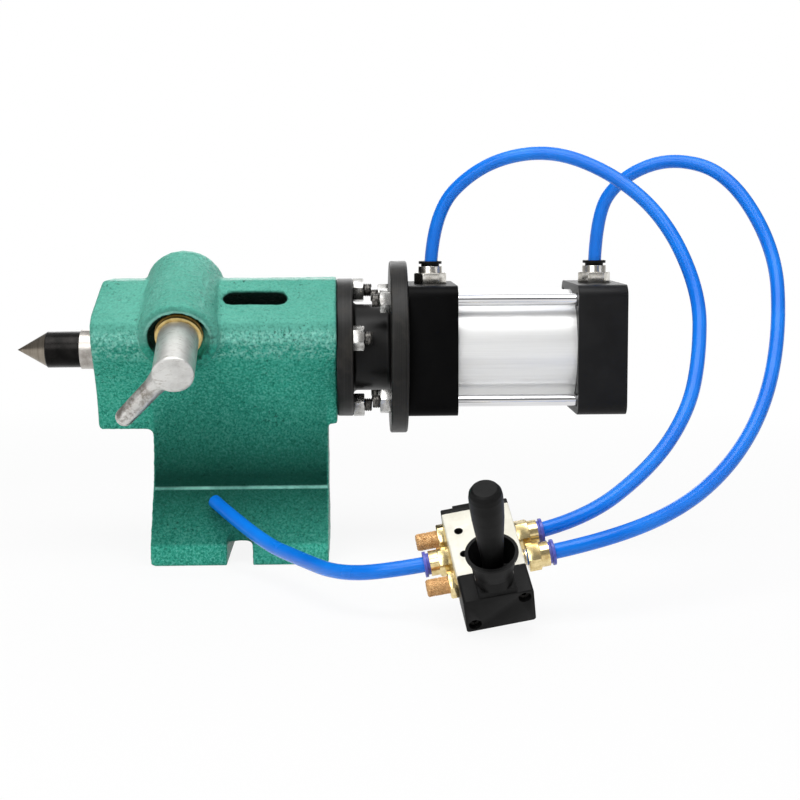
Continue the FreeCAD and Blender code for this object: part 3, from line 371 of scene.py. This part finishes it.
def clamp_shade_and_dirt(f):
    """Painted shade on the upper wall of the clamp's counterbore, and specks of dark dirt on the
    boss round it.
    """
    wall, mouth, floor = (0.0186, 0.0178), (0.0002, 0.0012), (0.012, 0.011)
    round_mouth, on_face = (0.0236, 0.019), (0.004, 0.0)
    reach = f.off_axis(clamp_start, clamp_inward)
    deep = f.depth(clamp_start, clamp_inward)
    upper_left = f.span(f.depth(clamp_start, (-0.4, 0.0, 0.92)), -0.007, 0.002)
    # Painted shade on the counterbore's upper wall.
    inside = f.both(f.span(reach, *wall), f.span(deep, *mouth), f.span(deep, *floor), upper_left)
    near = f.both(f.span(reach, *round_mouth), f.span(deep, *on_face),
                  f.span(f.noise(330, 4, 0.7), 0.44, 0.62),
                  f.span(upper_left, 1.0, 0.0, 0.35, 1.0), 0.85)
    return f.math("MAXIMUM", inside, near)


def clamp_lip_highlight(f):
    """A painted highlight on the edge of the clamp's counterbore, on its upper side."""
    lip_inside, lip_outside = (0.0180, 0.0186), (0.0203, 0.0194)
    lip_depth, lip_upper = (0.0022, 0.0008), (0.134, 0.142)
    reach = f.off_axis(clamp_start, clamp_inward)
    return f.both(f.span(reach, *lip_inside), f.span(reach, *lip_outside),
                  f.span(f.depth(clamp_start, clamp_inward), *lip_depth),
                  f.span(f.axis("Z"), *lip_upper, 0.0, 0.6))


def slot_shadow(f):
    """Painted shadow on the walls inside the drift slot."""
    mouth, half_length = (0.0008, 0.0022), (0.0212, 0.0206)
    top, bottom, back, front = (0.1664, 0.1658), (0.138, 0.139), (-0.003, -0.004), (-0.0425, -0.041)
    along = f.math("ABSOLUTE", f.depth(slot_middle, (1, 0, 0)))
    height = f.axis("Z")
    across = f.axis("Y")
    return f.both(f.span(f.depth(slot_middle, slot_inward), *mouth), f.span(along, *half_length),
                  f.span(height, *top), f.span(height, *bottom),
                  f.span(across, *back), f.span(across, *front))


def turned_metal(name, colour, dark, tint=None):
    """Metal with fine tool marks round the X axis, and cloudy handling marks."""
    f = Finish(name, colour, metallic=1.0, roughness=0.28)
    marks = f.noise(1.0, 2, 0.6, f.stretched((2600, 6, 6)))
    clouds = f.noise(90, 4, 0.6)
    shade = f.over(dark, colour, marks, 0.3, 0.7)
    shade = f.over(shade, dark, clouds, 0.5, 0.72, 0.45)
    if tint:
        shade = f.over(shade, tint, f.noise(40, 3), 0.48, 0.7, 0.6)
    f.roughen(clouds, 0.3, 0.75, 0.22, 0.40)
    f.bump(marks, 0.35, 0.00002)
    return f, shade


def ground_steel():
    f, shade = turned_metal("ground_steel", (0.60, 0.59, 0.57), (0.40, 0.39, 0.37))
    f.paint(shade)
    return f.material


def centre_finish():
    """The centre: brownish ground cone, black oxide head and bright collar, by place along X."""
    f, cone = turned_metal("centre_finish", (0.36, 0.32, 0.265), (0.20, 0.17, 0.135),
                           tint=(0.30, 0.225, 0.14))
    along = f.axis("X")
    past_cone = f.math("GREATER_THAN", along, centre_cone_end)
    in_head = f.math("MULTIPLY", past_cone, f.math("LESS_THAN", along, centre_head_end))
    past_head = f.math("GREATER_THAN", along, centre_head_end)
    clouds = f.noise(160, 3, 0.6)
    collar = f.over((0.47, 0.445, 0.415), (0.29, 0.265, 0.24), clouds, 0.4, 0.7)
    head = f.over((0.008, 0.0078, 0.0075), (0.016, 0.015, 0.0145), clouds, 0.35, 0.75)
    f.paint(f.mix(in_head, f.mix(past_head, cone, collar), head))
    return f.material


def black_oxide():
    """Black oxide on turned steel: tool rings, brown at worn places, darkest on the neck."""
    f = Finish("black_oxide", (0.016, 0.015, 0.0145), metallic=0.1, roughness=0.36,
               Specular_IOR_Level=0.2)
    neck_side = (0.033, 0.030)
    radius = f.off_axis((0, 0, axis_height), (1, 0, 0))
    turned = f.add("ShaderNodeCombineXYZ", {"X": f.axis("X"), "Y": radius}).outputs["Vector"]
    rings = f.noise(1700, 2, 0.6, turned)
    clouds = f.noise(85, 4, 0.6)
    colour = f.over((0.007, 0.0067, 0.0064), (0.018, 0.0172, 0.0162), rings, 0.35, 0.65)
    colour = f.over(colour, (0.036, 0.032, 0.027), clouds, 0.5, 0.72, 0.6)
    f.paint(f.over(colour, (0.002, 0.002, 0.002), radius, *neck_side, 0.85))
    f.roughen(clouds, 0.3, 0.75, 0.3, 0.5)
    f.bump(rings, 0.5, 0.00005)
    f.bump(f.noise(900, 3), 0.25, 0.00006)
    return f.material


def black_anodised(name, gloss, pale):
    """Black anodised aluminium caps, with a fine matt grain."""
    f = Finish(name, (pale, pale, pale), roughness=0.42, Specular_IOR_Level=gloss)
    grain = f.noise(2200, 3, 0.6)
    f.paint(f.over((pale * 0.5, pale * 0.5, pale * 0.55), (pale, pale, pale * 1.05),
                   f.noise(60, 4), 0.35, 0.7))
    f.roughen(grain, 0.3, 0.7, 0.36, 0.5)
    f.bump(grain, 0.2, 0.00003)
    return f.material


def bright_steel():
    """The bright lock handle: worn turned steel with scuffs, and grime on its arm."""
    f = Finish("bright_steel", (0.66, 0.67, 0.64), metallic=0.75, roughness=0.36)
    arm_root = (0.0135, 0.02)
    clouds = f.noise(70, 5, 0.62)
    scuffs = f.noise(1.0, 3, 0.7, f.stretched((180, 900, 240), (0.3, 0.5, 0.9)))
    colour = f.over((0.74, 0.735, 0.71), (0.52, 0.51, 0.49), clouds, 0.42, 0.72)
    colour = f.over(colour, (0.27, 0.235, 0.19), scuffs, 0.55, 0.72, 0.65)
    on_arm = f.span(f.off_axis(clamp_start, clamp_inward), *arm_root)
    grime = f.both(on_arm, f.span(f.noise(210, 4, 0.7), 0.44, 0.6, 0.15, 0.8))
    f.paint(f.mix(grime, colour, (0.17, 0.14, 0.11)))
    f.roughen(clouds, 0.3, 0.75, 0.3, 0.52)
    f.bump(scuffs, 0.3, 0.00006)
    f.bump(f.noise(650, 3), 0.25, 0.00006)
    return f.material


def zinc_plate():
    """Zinc-plated nuts with dark stains."""
    f = Finish("zinc_plate", (0.62, 0.62, 0.61), metallic=0.9, roughness=0.3)
    clouds = f.noise(240, 4, 0.6)
    f.paint(f.over((0.52, 0.515, 0.50), (0.25, 0.24, 0.225), clouds, 0.4, 0.7))
    f.roughen(clouds, 0.3, 0.7, 0.16, 0.34)
    f.bump(f.noise(900, 2), 0.2, 0.00003)
    return f.material


def dark_thread():
    """Oily dark threads on the stud ends."""
    f = Finish("dark_thread", (0.10, 0.095, 0.09), metallic=0.8, roughness=0.4)
    f.paint(f.over((0.05, 0.048, 0.045), (0.19, 0.18, 0.165), f.noise(700, 3), 0.4, 0.65))
    return f.material


def polished_rod():
    """Chromed tie rods."""
    f = Finish("polished_rod", (0.78, 0.78, 0.79), metallic=1.0, roughness=0.12)
    marks = f.noise(1.0, 2, 0.6, f.stretched((25, 1400, 1400)))
    f.paint(f.over((0.80, 0.80, 0.81), (0.60, 0.60, 0.61), marks, 0.35, 0.7))
    f.roughen(marks, 0.3, 0.7, 0.05, 0.14)
    return f.material


def satin_aluminium():
    """The barrel's satin anodised tube, drawn along its length."""
    f = Finish("satin_aluminium", (0.84, 0.84, 0.835), metallic=0.45, roughness=0.36)
    drawn = f.noise(1.0, 3, 0.6, f.stretched((14, 900, 900)))
    f.paint(f.over((0.86, 0.86, 0.85), (0.80, 0.80, 0.79), drawn, 0.35, 0.7))
    f.roughen(drawn, 0.3, 0.7, 0.3, 0.4)
    f.bump(drawn, 0.15, 0.00002)
    return f.material


def nickel():
    """Nickel-plated port fittings."""
    f = Finish("nickel", (0.66, 0.63, 0.58), metallic=1.0, roughness=0.2)
    clouds = f.noise(300, 3)
    f.paint(f.over((0.74, 0.72, 0.67), (0.48, 0.45, 0.40), clouds, 0.4, 0.7))
    f.roughen(clouds, 0.3, 0.7, 0.15, 0.3)
    return f.material


def brass():
    """The valve's fittings and the silencers' plugs."""
    f = Finish("brass", (0.83, 0.66, 0.33), metallic=0.92, roughness=0.22)
    clouds = f.noise(260, 4, 0.6)
    f.paint(f.over((0.87, 0.72, 0.39), (0.56, 0.40, 0.16), clouds, 0.4, 0.72))
    f.roughen(clouds, 0.3, 0.7, 0.10, 0.26)
    f.bump(f.noise(1200, 2), 0.12, 0.00002)
    return f.material


def bronze():
    """The clamp's cotters and washer, and the rod's guide."""
    f = Finish("bronze", (0.62, 0.43, 0.20), metallic=0.9, roughness=0.32)
    f.paint(f.over((0.76, 0.58, 0.24), (0.46, 0.31, 0.10), f.noise(300, 4, 0.6), 0.4, 0.72))
    return f.material


def sintered_bronze():
    """Sintered bronze grains, darker between them."""
    f = Finish("sintered_bronze", (0.55, 0.34, 0.17), metallic=0.6, roughness=0.55)
    grains = f.cells(1900)
    colour = f.over((0.80, 0.51, 0.24), (0.52, 0.29, 0.115), grains, 0.2, 0.6)
    f.paint(f.over(colour, (0.88, 0.60, 0.30), f.noise(500, 2), 0.4, 0.7, 0.6))
    f.bump(f.math("SUBTRACT", 1.0, grains), 0.6, 0.00015)
    return f.material


def black_plastic():
    """Moulded black plastic with a fine spark-eroded grain."""
    f = Finish("black_plastic", (0.004, 0.004, 0.004), roughness=0.46, Specular_IOR_Level=0.12)
    grain = f.noise(2600, 3, 0.6)
    f.paint(f.over((0.003, 0.003, 0.003), (0.007, 0.007, 0.007), f.noise(120, 3), 0.35, 0.7))
    f.roughen(grain, 0.3, 0.7, 0.4, 0.55)
    f.bump(grain, 0.25, 0.00003)
    return f.material


def ivory_coat():
    """Ivory satin coating on the valve's body, with small specks, and painted shade inside its
    mounting holes.
    """
    f = Finish("ivory_coat", (0.80, 0.775, 0.66), metallic=0.05, roughness=0.42)
    hole_wall = (0.0023, 0.0022)
    colour = f.over((0.83, 0.81, 0.71), (0.74, 0.71, 0.60), f.noise(120, 4, 0.6), 0.4, 0.7)
    colour = f.over(colour, (0.48, 0.45, 0.38), f.cells(700), 0.07, 0.03, 0.35)
    for mount in frame["record"]["mounts"]:
        if mount["name"].startswith("valve_hole"):
            radius = f.off_axis(mount["pos_m"], mount["axis"])
            # Painted shade: near black inside each mounting hole.
            colour = f.over(colour, (0.012, 0.012, 0.012), radius, *hole_wall)
    f.paint(colour)
    f.bump(f.noise(1500, 3), 0.25, 0.00003)
    return f.material


def violet_plastic():
    """The valve's release collars."""
    f = Finish("violet_plastic", (0.085, 0.10, 0.50), roughness=0.33)
    f.paint(f.over((0.10, 0.115, 0.55), (0.06, 0.07, 0.38), f.noise(300, 3), 0.4, 0.7))
    f.bump(f.noise(2200, 2), 0.15, 0.00002)
    return f.material


def blue_tube():
    """Smooth blue polyurethane, a little uneven in colour."""
    f = Finish("blue_tube", (0.003, 0.17, 0.78), roughness=0.24, Coat_Weight=0.12,
               Coat_Roughness=0.14, Specular_IOR_Level=0.22)
    f.paint(f.over((0.001, 0.165, 0.75), (0.005, 0.215, 0.86), f.noise(35, 2, 0.5), 0.35, 0.7))
    f.roughen(f.noise(60, 2), 0.3, 0.7, 0.2, 0.28)
    return f.material


def seal_rubber():
    """Black rubber seals."""
    f = Finish("seal_rubber", (0.018, 0.018, 0.018), roughness=0.6)
    f.bump(f.noise(1500, 3), 0.2, 0.00003)
    return f.material


finish_of_slot = {
    "green_paint": green_enamel(),
    "ground_steel": ground_steel(),
    "black_oxide": black_oxide(),
    "bright_steel": bright_steel(),
    "zinc_steel": zinc_plate(),
    "bronze": bronze(),
    "black_cap": black_anodised("black_anodised", 0.16, 0.009),
    "aluminium_tube": satin_aluminium(),
    "nickel": nickel(),
    "black_plastic": black_plastic(),
    "ivory_paint": ivory_coat(),
    "brass": brass(),
    "sintered_bronze": sintered_bronze(),
    "violet_plastic": violet_plastic(),
    "blue_tube": blue_tube(),
    "seal_rubber": seal_rubber(),
}
finish_of_node = {
    "dead_centre": centre_finish(),
    "tie_rods": polished_rod(),
    "adapter_studs": dark_thread(),
    "front_end_cap": black_anodised("deep_black_anodised", 0.05, 0.002),
}


def finish_for(node):
    return finish_of_node.get(node) or finish_of_slot[slot_of[node]]


def dress_cad_nodes():
    """Every carried-over node takes its slot's finish."""
    for name, obj in nodes.items():
        obj.data.materials.clear()
        obj.data.materials.append(finish_for(name))


# Meshes

def body_of(node):
    for body, members in frame["record"]["behaviour"]["bodies"].items():
        if node in members:
            return body
    return "root"


def place_piece(obj, body, slot, *replaced):
    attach(obj, body)
    if replaced:
        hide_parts(*replaced)


def new_piece(name, mesh, material, smooth_angle=35.0):
    obj = bpy.data.objects.new(name, mesh)
    bpy.context.collection.objects.link(obj)
    mesh.materials.clear()
    mesh.materials.append(material)
    mesh.polygons.foreach_set("material_index", [0] * len(mesh.polygons))
    mesh.shade_smooth()
    mesh.set_sharp_from_angle(angle=math.radians(smooth_angle))
    return obj


def merged_copy(node, flatten=True):
    """A CAD node's triangles as one closed mesh, with its flats joined if asked."""
    source = nodes[node]
    work = bmesh.new()
    work.from_mesh(source.data)
    work.transform(source.matrix_world)
    bmesh.ops.remove_doubles(work, verts=work.verts, dist=weld_distance)
    if flatten:
        bmesh.ops.dissolve_limit(work, angle_limit=math.radians(flat_angle), verts=work.verts,
                                 edges=work.edges)
    mesh = bpy.data.meshes.new(node + "_mesh")
    work.to_mesh(mesh)
    work.free()
    return mesh


def applied(obj, name):
    """The object's evaluated mesh, without its modifiers."""
    graph = bpy.context.evaluated_depsgraph_get()
    mesh = bpy.data.meshes.new_from_object(obj.evaluated_get(graph), depsgraph=graph)
    mesh.name = name
    bpy.data.objects.remove(obj)
    return mesh


def softened(node, width, segments):
    """A CAD node's shape with its sharp edges broken, in place of the node."""
    obj = new_piece(node + "_work", merged_copy(node), finish_for(node))
    bevel = obj.modifiers.new("edge", "BEVEL")
    bevel.width = width
    bevel.segments = segments
    bevel.limit_method = "ANGLE"
    bevel.angle_limit = math.radians(edge_angle)
    bevel.use_clamp_overlap = True
    piece = new_piece(node + "_soft", applied(obj, node + "_soft"), finish_for(node), 40.0)
    place_piece(piece, body_of(node), slot_of[node], node)


def remeshed(node, voxel, smoothing):
    """A CAD node's shape as even quads with its edges rounded, as a casting's are."""
    obj = new_piece(node + "_work", merged_copy(node, flatten=False), finish_for(node))
    remesh = obj.modifiers.new("remesh", "REMESH")
    remesh.mode = "VOXEL"
    remesh.voxel_size = voxel
    smooth = obj.modifiers.new("smooth", "SMOOTH")
    smooth.factor = 0.5
    smooth.iterations = smoothing
    return applied(obj, node + "_skin")


def zero_to_one(value):
    return min(1.0, max(0.0, value))


def casting_skin():
    """The casting with rounded edges and a rough sand-cast surface; machined faces stay flat."""
    mesh = remeshed("tailstock_casting", casting_voxel, casting_smoothing)
    normals = [vertex.normal.copy() for vertex in mesh.vertices]
    for vertex, normal in zip(mesh.vertices, normals):
        place = vertex.co.copy()
        if math.hypot(place.y, place.z - axis_height) < bored_radius:
            continue
        from_left = place.x - head_low[0]
        raised = zero_to_one((place.z - nose_slope_start) / nose_slope_height)
        leaning = nose_slope * raised * max(0.0, 1.0 - from_left / nose_slope_length)
        machined = min(from_left, head_high[0] - place.x, place.z - head_low[2])
        rough = sum(noise.noise(place * waves) * height for waves, height in casting_waves)
        vertex.co = place + normal * rough * zero_to_one(machined / machined_fade)
        vertex.co.x += leaning
    piece = new_piece("casting_skin", mesh, finish_for("tailstock_casting"), 80.0)
    place_piece(piece, "tailstock", "green_paint", "tailstock_casting")


def handle_skin():
    """The lock handle with its arm blended into the hub."""
    mesh = remeshed("lock_handle", handle_voxel, handle_smoothing)
    piece = new_piece("lock_handle_skin", mesh, finish_for("lock_handle"), 70.0)
    place_piece(piece, "clamp_handle", "bright_steel", "lock_handle")


def facing(place, direction):
    """The matrix that puts local Z along direction at a place."""
    matrix = Vector(direction).to_track_quat("Z", "Y").to_matrix().to_4x4()
    matrix.translation = Vector(place)
    return matrix


def join_meshes(name, meshes):
    work = bmesh.new()
    for mesh in meshes:
        work.from_mesh(mesh)
    whole = bpy.data.meshes.new(name)
    work.to_mesh(whole)
    work.free()
    return whole


def revolved(profile, place, direction, steps=32):
    """A closed solid of (radius, height) steps turned about a line."""
    work = bmesh.new()
    rings = []
    angles = [2 * math.pi * i / steps for i in range(steps)]
    for radius, height in profile:
        rings.append([work.verts.new((radius * math.cos(angle), radius * math.sin(angle), height))
                      for angle in angles])
    for low, high in zip(rings, rings[1:]):
        for i in range(steps):
            j = (i + 1) % steps
            work.faces.new((low[i], low[j], high[j], high[i]))
    work.faces.new(list(reversed(rings[0])))
    work.faces.new(rings[-1])
    bmesh.ops.recalc_face_normals(work, faces=work.faces)
    work.transform(facing(place, direction))
    mesh = bpy.data.meshes.new("revolved")
    work.to_mesh(mesh)
    work.free()
    return mesh


# Geometry trees

def start_tree(name, sockets):
    """A geometry tree with its named inputs, and its input node's outputs."""
    tree = bpy.data.node_groups.new(name, "GeometryNodeTree")
    for label, kind, value in sockets:
        socket = tree.interface.new_socket(label, in_out="INPUT", socket_type=kind)
        if value:
            socket.default_value = value
    tree.interface.new_socket("Finish", in_out="INPUT", socket_type="NodeSocketMaterial")
    tree.interface.new_socket("Geometry", in_out="OUTPUT", socket_type="NodeSocketGeometry")
    return tree, tree.nodes.new("NodeGroupInput").outputs


def end_tree(tree, geometry, finish):
    """The tree's result as a real mesh with its material."""
    real = add_node(tree, "GeometryNodeRealizeInstances", {"Geometry": geometry})
    paint = add_node(tree, "GeometryNodeSetMaterial",
                     {"Geometry": real.outputs["Geometry"], "Material": finish})
    add_node(tree, "NodeGroupOutput", {"Geometry": paint.outputs["Geometry"]})
    return tree


def thread_tree():
    """Named inputs Length, Core Radius, Ridge and Pitch: a ridge wound on a core, on Z from 0."""
    tree, given = start_tree("thread", (("Length", "NodeSocketFloat", 0.01),
                                        ("Core Radius", "NodeSocketFloat", 0.0034),
                                        ("Ridge", "NodeSocketFloat", 0.0005),
                                        ("Pitch", "NodeSocketFloat", 0.00125)))
    spiral = add_node(tree, "GeometryNodeCurveSpiral", {
        "Resolution": 20, "Rotations": add_math(tree, "DIVIDE", given["Length"], given["Pitch"]),
        "Height": given["Length"], "Start Radius": given["Core Radius"],
        "End Radius": given["Core Radius"]})
    ridge = add_node(tree, "GeometryNodeCurvePrimitiveCircle",
                     {"Resolution": 4, "Radius": given["Ridge"]})
    sweep = add_node(tree, "GeometryNodeCurveToMesh", {
        "Fill Caps": True, "Curve": spiral.outputs["Curve"],
        "Profile Curve": ridge.outputs["Curve"]})
    core = add_node(tree, "GeometryNodeMeshCylinder", {
        "Vertices": 24, "Radius": given["Core Radius"], "Depth": given["Length"]})
    up = add_node(tree, "ShaderNodeCombineXYZ",
                  {"Z": add_math(tree, "MULTIPLY", given["Length"], 0.5)})
    lift = add_node(tree, "GeometryNodeTransform", {
        "Geometry": core.outputs["Mesh"], "Translation": up.outputs["Vector"]})
    join = add_node(tree, "GeometryNodeJoinGeometry", {"Geometry": sweep.outputs["Mesh"]})
    tree.links.new(lift.outputs["Geometry"], join.inputs["Geometry"])
    return end_tree(tree, join.outputs["Geometry"], given["Finish"])


def grain_tree():
    """Named inputs Element, Grain Size and Spacing: grains strewn over an element's surface."""
    tree, given = start_tree("grains", (("Element", "NodeSocketObject", None),
                                        ("Grain Size", "NodeSocketFloat", 0.0004),
                                        ("Spacing", "NodeSocketFloat", 0.0006)))
    element = add_node(tree, "GeometryNodeObjectInfo", {"Object": given["Element"]},
                       transform_space="ORIGINAL")
    strew = add_node(tree, "GeometryNodeDistributePointsOnFaces", {
        "Density Max": 6.0e6, "Seed": 7, "Mesh": element.outputs["Geometry"],
        "Distance Min": given["Spacing"]}, distribute_method="POISSON")
    grain = add_node(tree, "GeometryNodeMeshIcoSphere",
                     {"Subdivisions": 1, "Radius": given["Grain Size"]})
    smallest, largest = 0.75, 1.2
    size = add_node(tree, "FunctionNodeRandomValue", {2: smallest, 3: largest, "Seed": 3},
                    data_type="FLOAT")
    spread = add_node(tree, "GeometryNodeInstanceOnPoints", {
        "Points": strew.outputs["Points"], "Instance": grain.outputs["Mesh"],
        "Rotation": strew.outputs["Rotation"], "Scale": size.outputs[1]})
    return end_tree(tree, spread.outputs["Instances"], given["Finish"])


def socket_id(tree, name):
    for item in tree.interface.items_tree:
        if item.item_type == "SOCKET" and item.in_out == "INPUT" and item.name == name:
            return item.identifier
    raise KeyError(name)


def run_tree(tree, name, **values):
    """The mesh that a geometry tree makes with these inputs."""
    holder = bpy.data.objects.new(name, bpy.data.meshes.new(name))
    bpy.context.collection.objects.link(holder)
    modifier = holder.modifiers.new(name, "NODES")
    modifier.node_group = tree
    for key, value in values.items():
        modifier[socket_id(tree, key.replace("_", " "))] = value
    return applied(holder, name)


# Threads and rods

def islands(node):
    """The separate solids of a CAD node, as lists of their corner points."""
    work = bmesh.new()
    work.from_mesh(merged_copy(node, flatten=False))
    groups = []
    seen = set()
    for start in work.verts:
        if start.index in seen:
            continue
        stack = [start]
        seen.add(start.index)
        group = []
        while stack:
            vertex = stack.pop()
            group.append(vertex.co.copy())
            for edge in vertex.link_edges:
                other = edge.other_vert(vertex)
                if other.index not in seen:
                    seen.add(other.index)
                    stack.append(other)
        groups.append(group)
    work.free()
    return groups


def bar_ends(group):
    """Middle of a bar along X at its left and right ends."""
    left = min(point.x for point in group)
    right = max(point.x for point in group)
    y = (min(point.y for point in group) + max(point.y for point in group)) / 2
    z = (min(point.z for point in group) + max(point.z for point in group)) / 2
    return Vector((left, y, z)), Vector((right, y, z))


def stud_threads(tree):
    """Threaded ends of the studs and tie rods, standing past their nuts."""
    finish = finish_for("adapter_studs")
    ends = [(bar_ends(group)[1], Vector((1, 0, 0))) for group in islands("adapter_studs")]
    ends += [(bar_ends(group)[0], Vector((-1, 0, 0))) for group in islands("tie_rods")]
    meshes = []
    for end, outward in ends:
        mesh = run_tree(tree, "stud_end", Length=thread_length, Finish=finish, **stud_thread)
        mesh.transform(facing(end - outward * thread_length, outward))
        meshes.append(mesh)
    piece = new_piece("stud_threads", join_meshes("stud_threads", meshes), finish)
    place_piece(piece, "tailstock", "zinc_steel", "adapter_studs")


def plain_rods():
    """The tie rods between the nuts, without the ends that the threads stand for."""
    meshes = []
    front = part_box("front_end_cap")[1][0] - rod_in_cap
    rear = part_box("rear_end_cap")[0][0] + rod_in_cap
    for group in islands("tie_rods"):
        left, right = bar_ends(group)
        start = left.x + thread_length
        steps = ((start, rod_radius), (front, rod_radius), (front + rod_shoulder, rod_waist),
                 (rear - rod_shoulder, rod_waist), (rear, rod_radius), (right.x, rod_radius))
        meshes.append(revolved([(radius, x - start) for x, radius in steps],
                               (start, left.y, left.z), (1, 0, 0)))
    piece = new_piece("chromed_rods", join_meshes("chromed_rods", meshes), finish_for("tie_rods"))
    place_piece(piece, "tailstock", "ground_steel", "tie_rods")


def outlet_thread(tree):
    """The bright thread of the outlet fitting that stands off the valve."""
    end, before = (Vector(point) * MM for point in rear_tube_route[:-3:-1])
    outward = (before - end).normalized()
    mesh = run_tree(tree, "outlet_thread", Length=outlet_standoff,
                    Finish=finish_of_slot["nickel"], **outlet_thread_size)
    mesh.transform(facing(end - outward * outlet_seat_back, outward))
    piece = new_piece("outlet_thread", mesh, finish_of_slot["nickel"])
    place_piece(piece, "tailstock", "nickel")


def silencer_grains():
    """Sintered grains over the silencer elements, which stay under them."""
    element = new_piece("element_work", merged_copy("silencer_elements"), finish_of_slot["bronze"])
    mesh = run_tree(grain_tree(), "silencer_grains", Element=element,
                    Finish=finish_of_slot["sintered_bronze"])
    bpy.data.objects.remove(element)
    piece = new_piece("silencer_grains", mesh, finish_of_slot["sintered_bronze"], 180.0)
    place_piece(piece, "tailstock", "sintered_bronze")


# Air tubes

def tube_curve(name, route):
    curve = bpy.data.curves.new(name, "CURVE")
    curve.dimensions = "3D"
    curve.bevel_depth = tube_diameter / 2
    curve.bevel_resolution = 8
    curve.resolution_u = 14
    curve.use_fill_caps = True
    spline = curve.splines.new("NURBS")
    spline.points.add(len(route) - 1)
    for point, place in zip(spline.points, route):
        point.co = (*(value * MM for value in place), 1)
    spline.order_u = 3
    spline.use_endpoint_u = True
    curve.materials.append(finish_of_slot["blue_tube"])
    obj = bpy.data.objects.new(name, curve)
    bpy.context.collection.objects.link(obj)
    return obj


def air_tubes():
    routes = (("front_tube", front_tube_route, "front_port_tube", "object", front_tube_length),
              ("rear_tube", rear_tube_route, "rear_port_tube", "object", rear_tube_length),
              ("supply_hose", supply_tube_route, "supply_tube", "bare", supply_tube_length))
    for name, route, node, far_end, length in routes:
        obj = tube_curve(name, route)
        place_piece(obj, "tailstock", "blue_tube", node)


# Studio

def emission_mix(tree, plain, share, glossy_share):
    """Shows white to camera and transmission rays for one share, to glossy rays for another."""
    rays = tree.nodes.new("ShaderNodeLightPath").outputs
    seen = add_math(tree, "MAXIMUM", rays["Is Camera Ray"], rays["Is Transmission Ray"])
    factor = add_math(tree, "MAXIMUM", add_math(tree, "MULTIPLY", seen, share),
                      add_math(tree, "MULTIPLY", rays["Is Glossy Ray"], glossy_share))
    white = tree.nodes.new("ShaderNodeEmission").outputs["Emission"]
    return add_node(tree, "ShaderNodeMixShader", {0: factor, 1: plain, 2: white}).outputs["Shader"]


def fade_outwards(tree):
    """The floor's white share: it shows its own shade near the object and is white far off."""
    place = tree.nodes.new("ShaderNodeTexCoord").outputs["Object"]
    away = add_node(tree, "ShaderNodeVectorMath", {0: place}, operation="LENGTH")
    span = add_node(tree, "ShaderNodeMapRange", {
        "Value": away.outputs["Value"], "From Min": floor_near, "From Max": floor_far,
        "To Min": floor_white_near, "To Max": floor_white_far})
    return span.outputs["Result"]


def add_floor():
    mesh = bpy.data.meshes.new("floor")
    side = floor_half_side
    mesh.from_pydata([(-side, -side, 0), (side, -side, 0), (side, side, 0), (-side, side, 0)],
                     [], [(0, 1, 2, 3)])
    floor = bpy.data.objects.new("floor", mesh)
    bpy.context.collection.objects.link(floor)
    floor.location.z = -floor_drop
    material = bpy.data.materials.new("pale_floor")
    material.use_nodes = True
    tree = material.node_tree
    plain = tree.nodes["Principled BSDF"]
    plain.inputs["Base Color"].default_value = (*floor_colour, 1)
    plain.inputs["Roughness"].default_value = floor_roughness
    share = fade_outwards(tree)
    tree.links.new(emission_mix(tree, plain.outputs["BSDF"], share, share),
                   tree.nodes["Material Output"].inputs["Surface"])
    mesh.materials.append(material)


def studio_bands(tree):
    """What gloss sees round the set: pale at the horizon and overhead, dark between them."""
    ray = tree.nodes.new("ShaderNodeTexCoord").outputs["Generated"]
    split = add_node(tree, "ShaderNodeSeparateXYZ", {"Vector": ray})
    ramp = add_node(tree, "ShaderNodeValToRGB", {"Fac": split.outputs["Z"]})
    elements = ramp.color_ramp.elements
    while len(elements) < len(gloss_bands):
        elements.new(0.5)
    for element, (place, level) in zip(elements, gloss_bands):
        element.position = place
        element.color = (level, level, level, 1)
    return ramp.outputs["Color"]


def add_world():
    world = bpy.data.worlds.new("studio")
    bpy.context.scene.world = world
    world.use_nodes = True
    tree = world.node_tree
    plain = tree.nodes["Background"]
    plain.inputs["Color"].default_value = (1, 1, 1, 1)
    plain.inputs["Strength"].default_value = world_strength
    tree.links.new(emission_mix(tree, plain.outputs["Background"], 1.0, studio_bands(tree)),
                   tree.nodes["World Output"].inputs["Surface"])


def add_lamp(name, place, size, power):
    lamp = bpy.data.lights.new(name, "AREA")
    lamp.shape = "RECTANGLE"
    lamp.size, lamp.size_y = size
    lamp.energy = power
    obj = bpy.data.objects.new(name, lamp)
    bpy.context.collection.objects.link(obj)
    direction = Vector(lamp_target) - Vector(place)
    turn = direction.to_track_quat("-Z", "Y").to_matrix().to_4x4()
    obj.matrix_world = Matrix.Translation(place) @ turn


# The scene

add_camera()
air_tubes()
dress_cad_nodes()
casting_skin()
handle_skin()
threads = thread_tree()
stud_threads(threads)
plain_rods()
outlet_thread(threads)
silencer_grains()
for width, segments, members in broken_edges:
    for node in members:
        softened(node, width, segments)

bpy.context.scene.view_settings.view_transform = "Standard"
add_floor()
add_world()
for name, place, size, power in lamps:
    add_lamp(name, place, size, power)
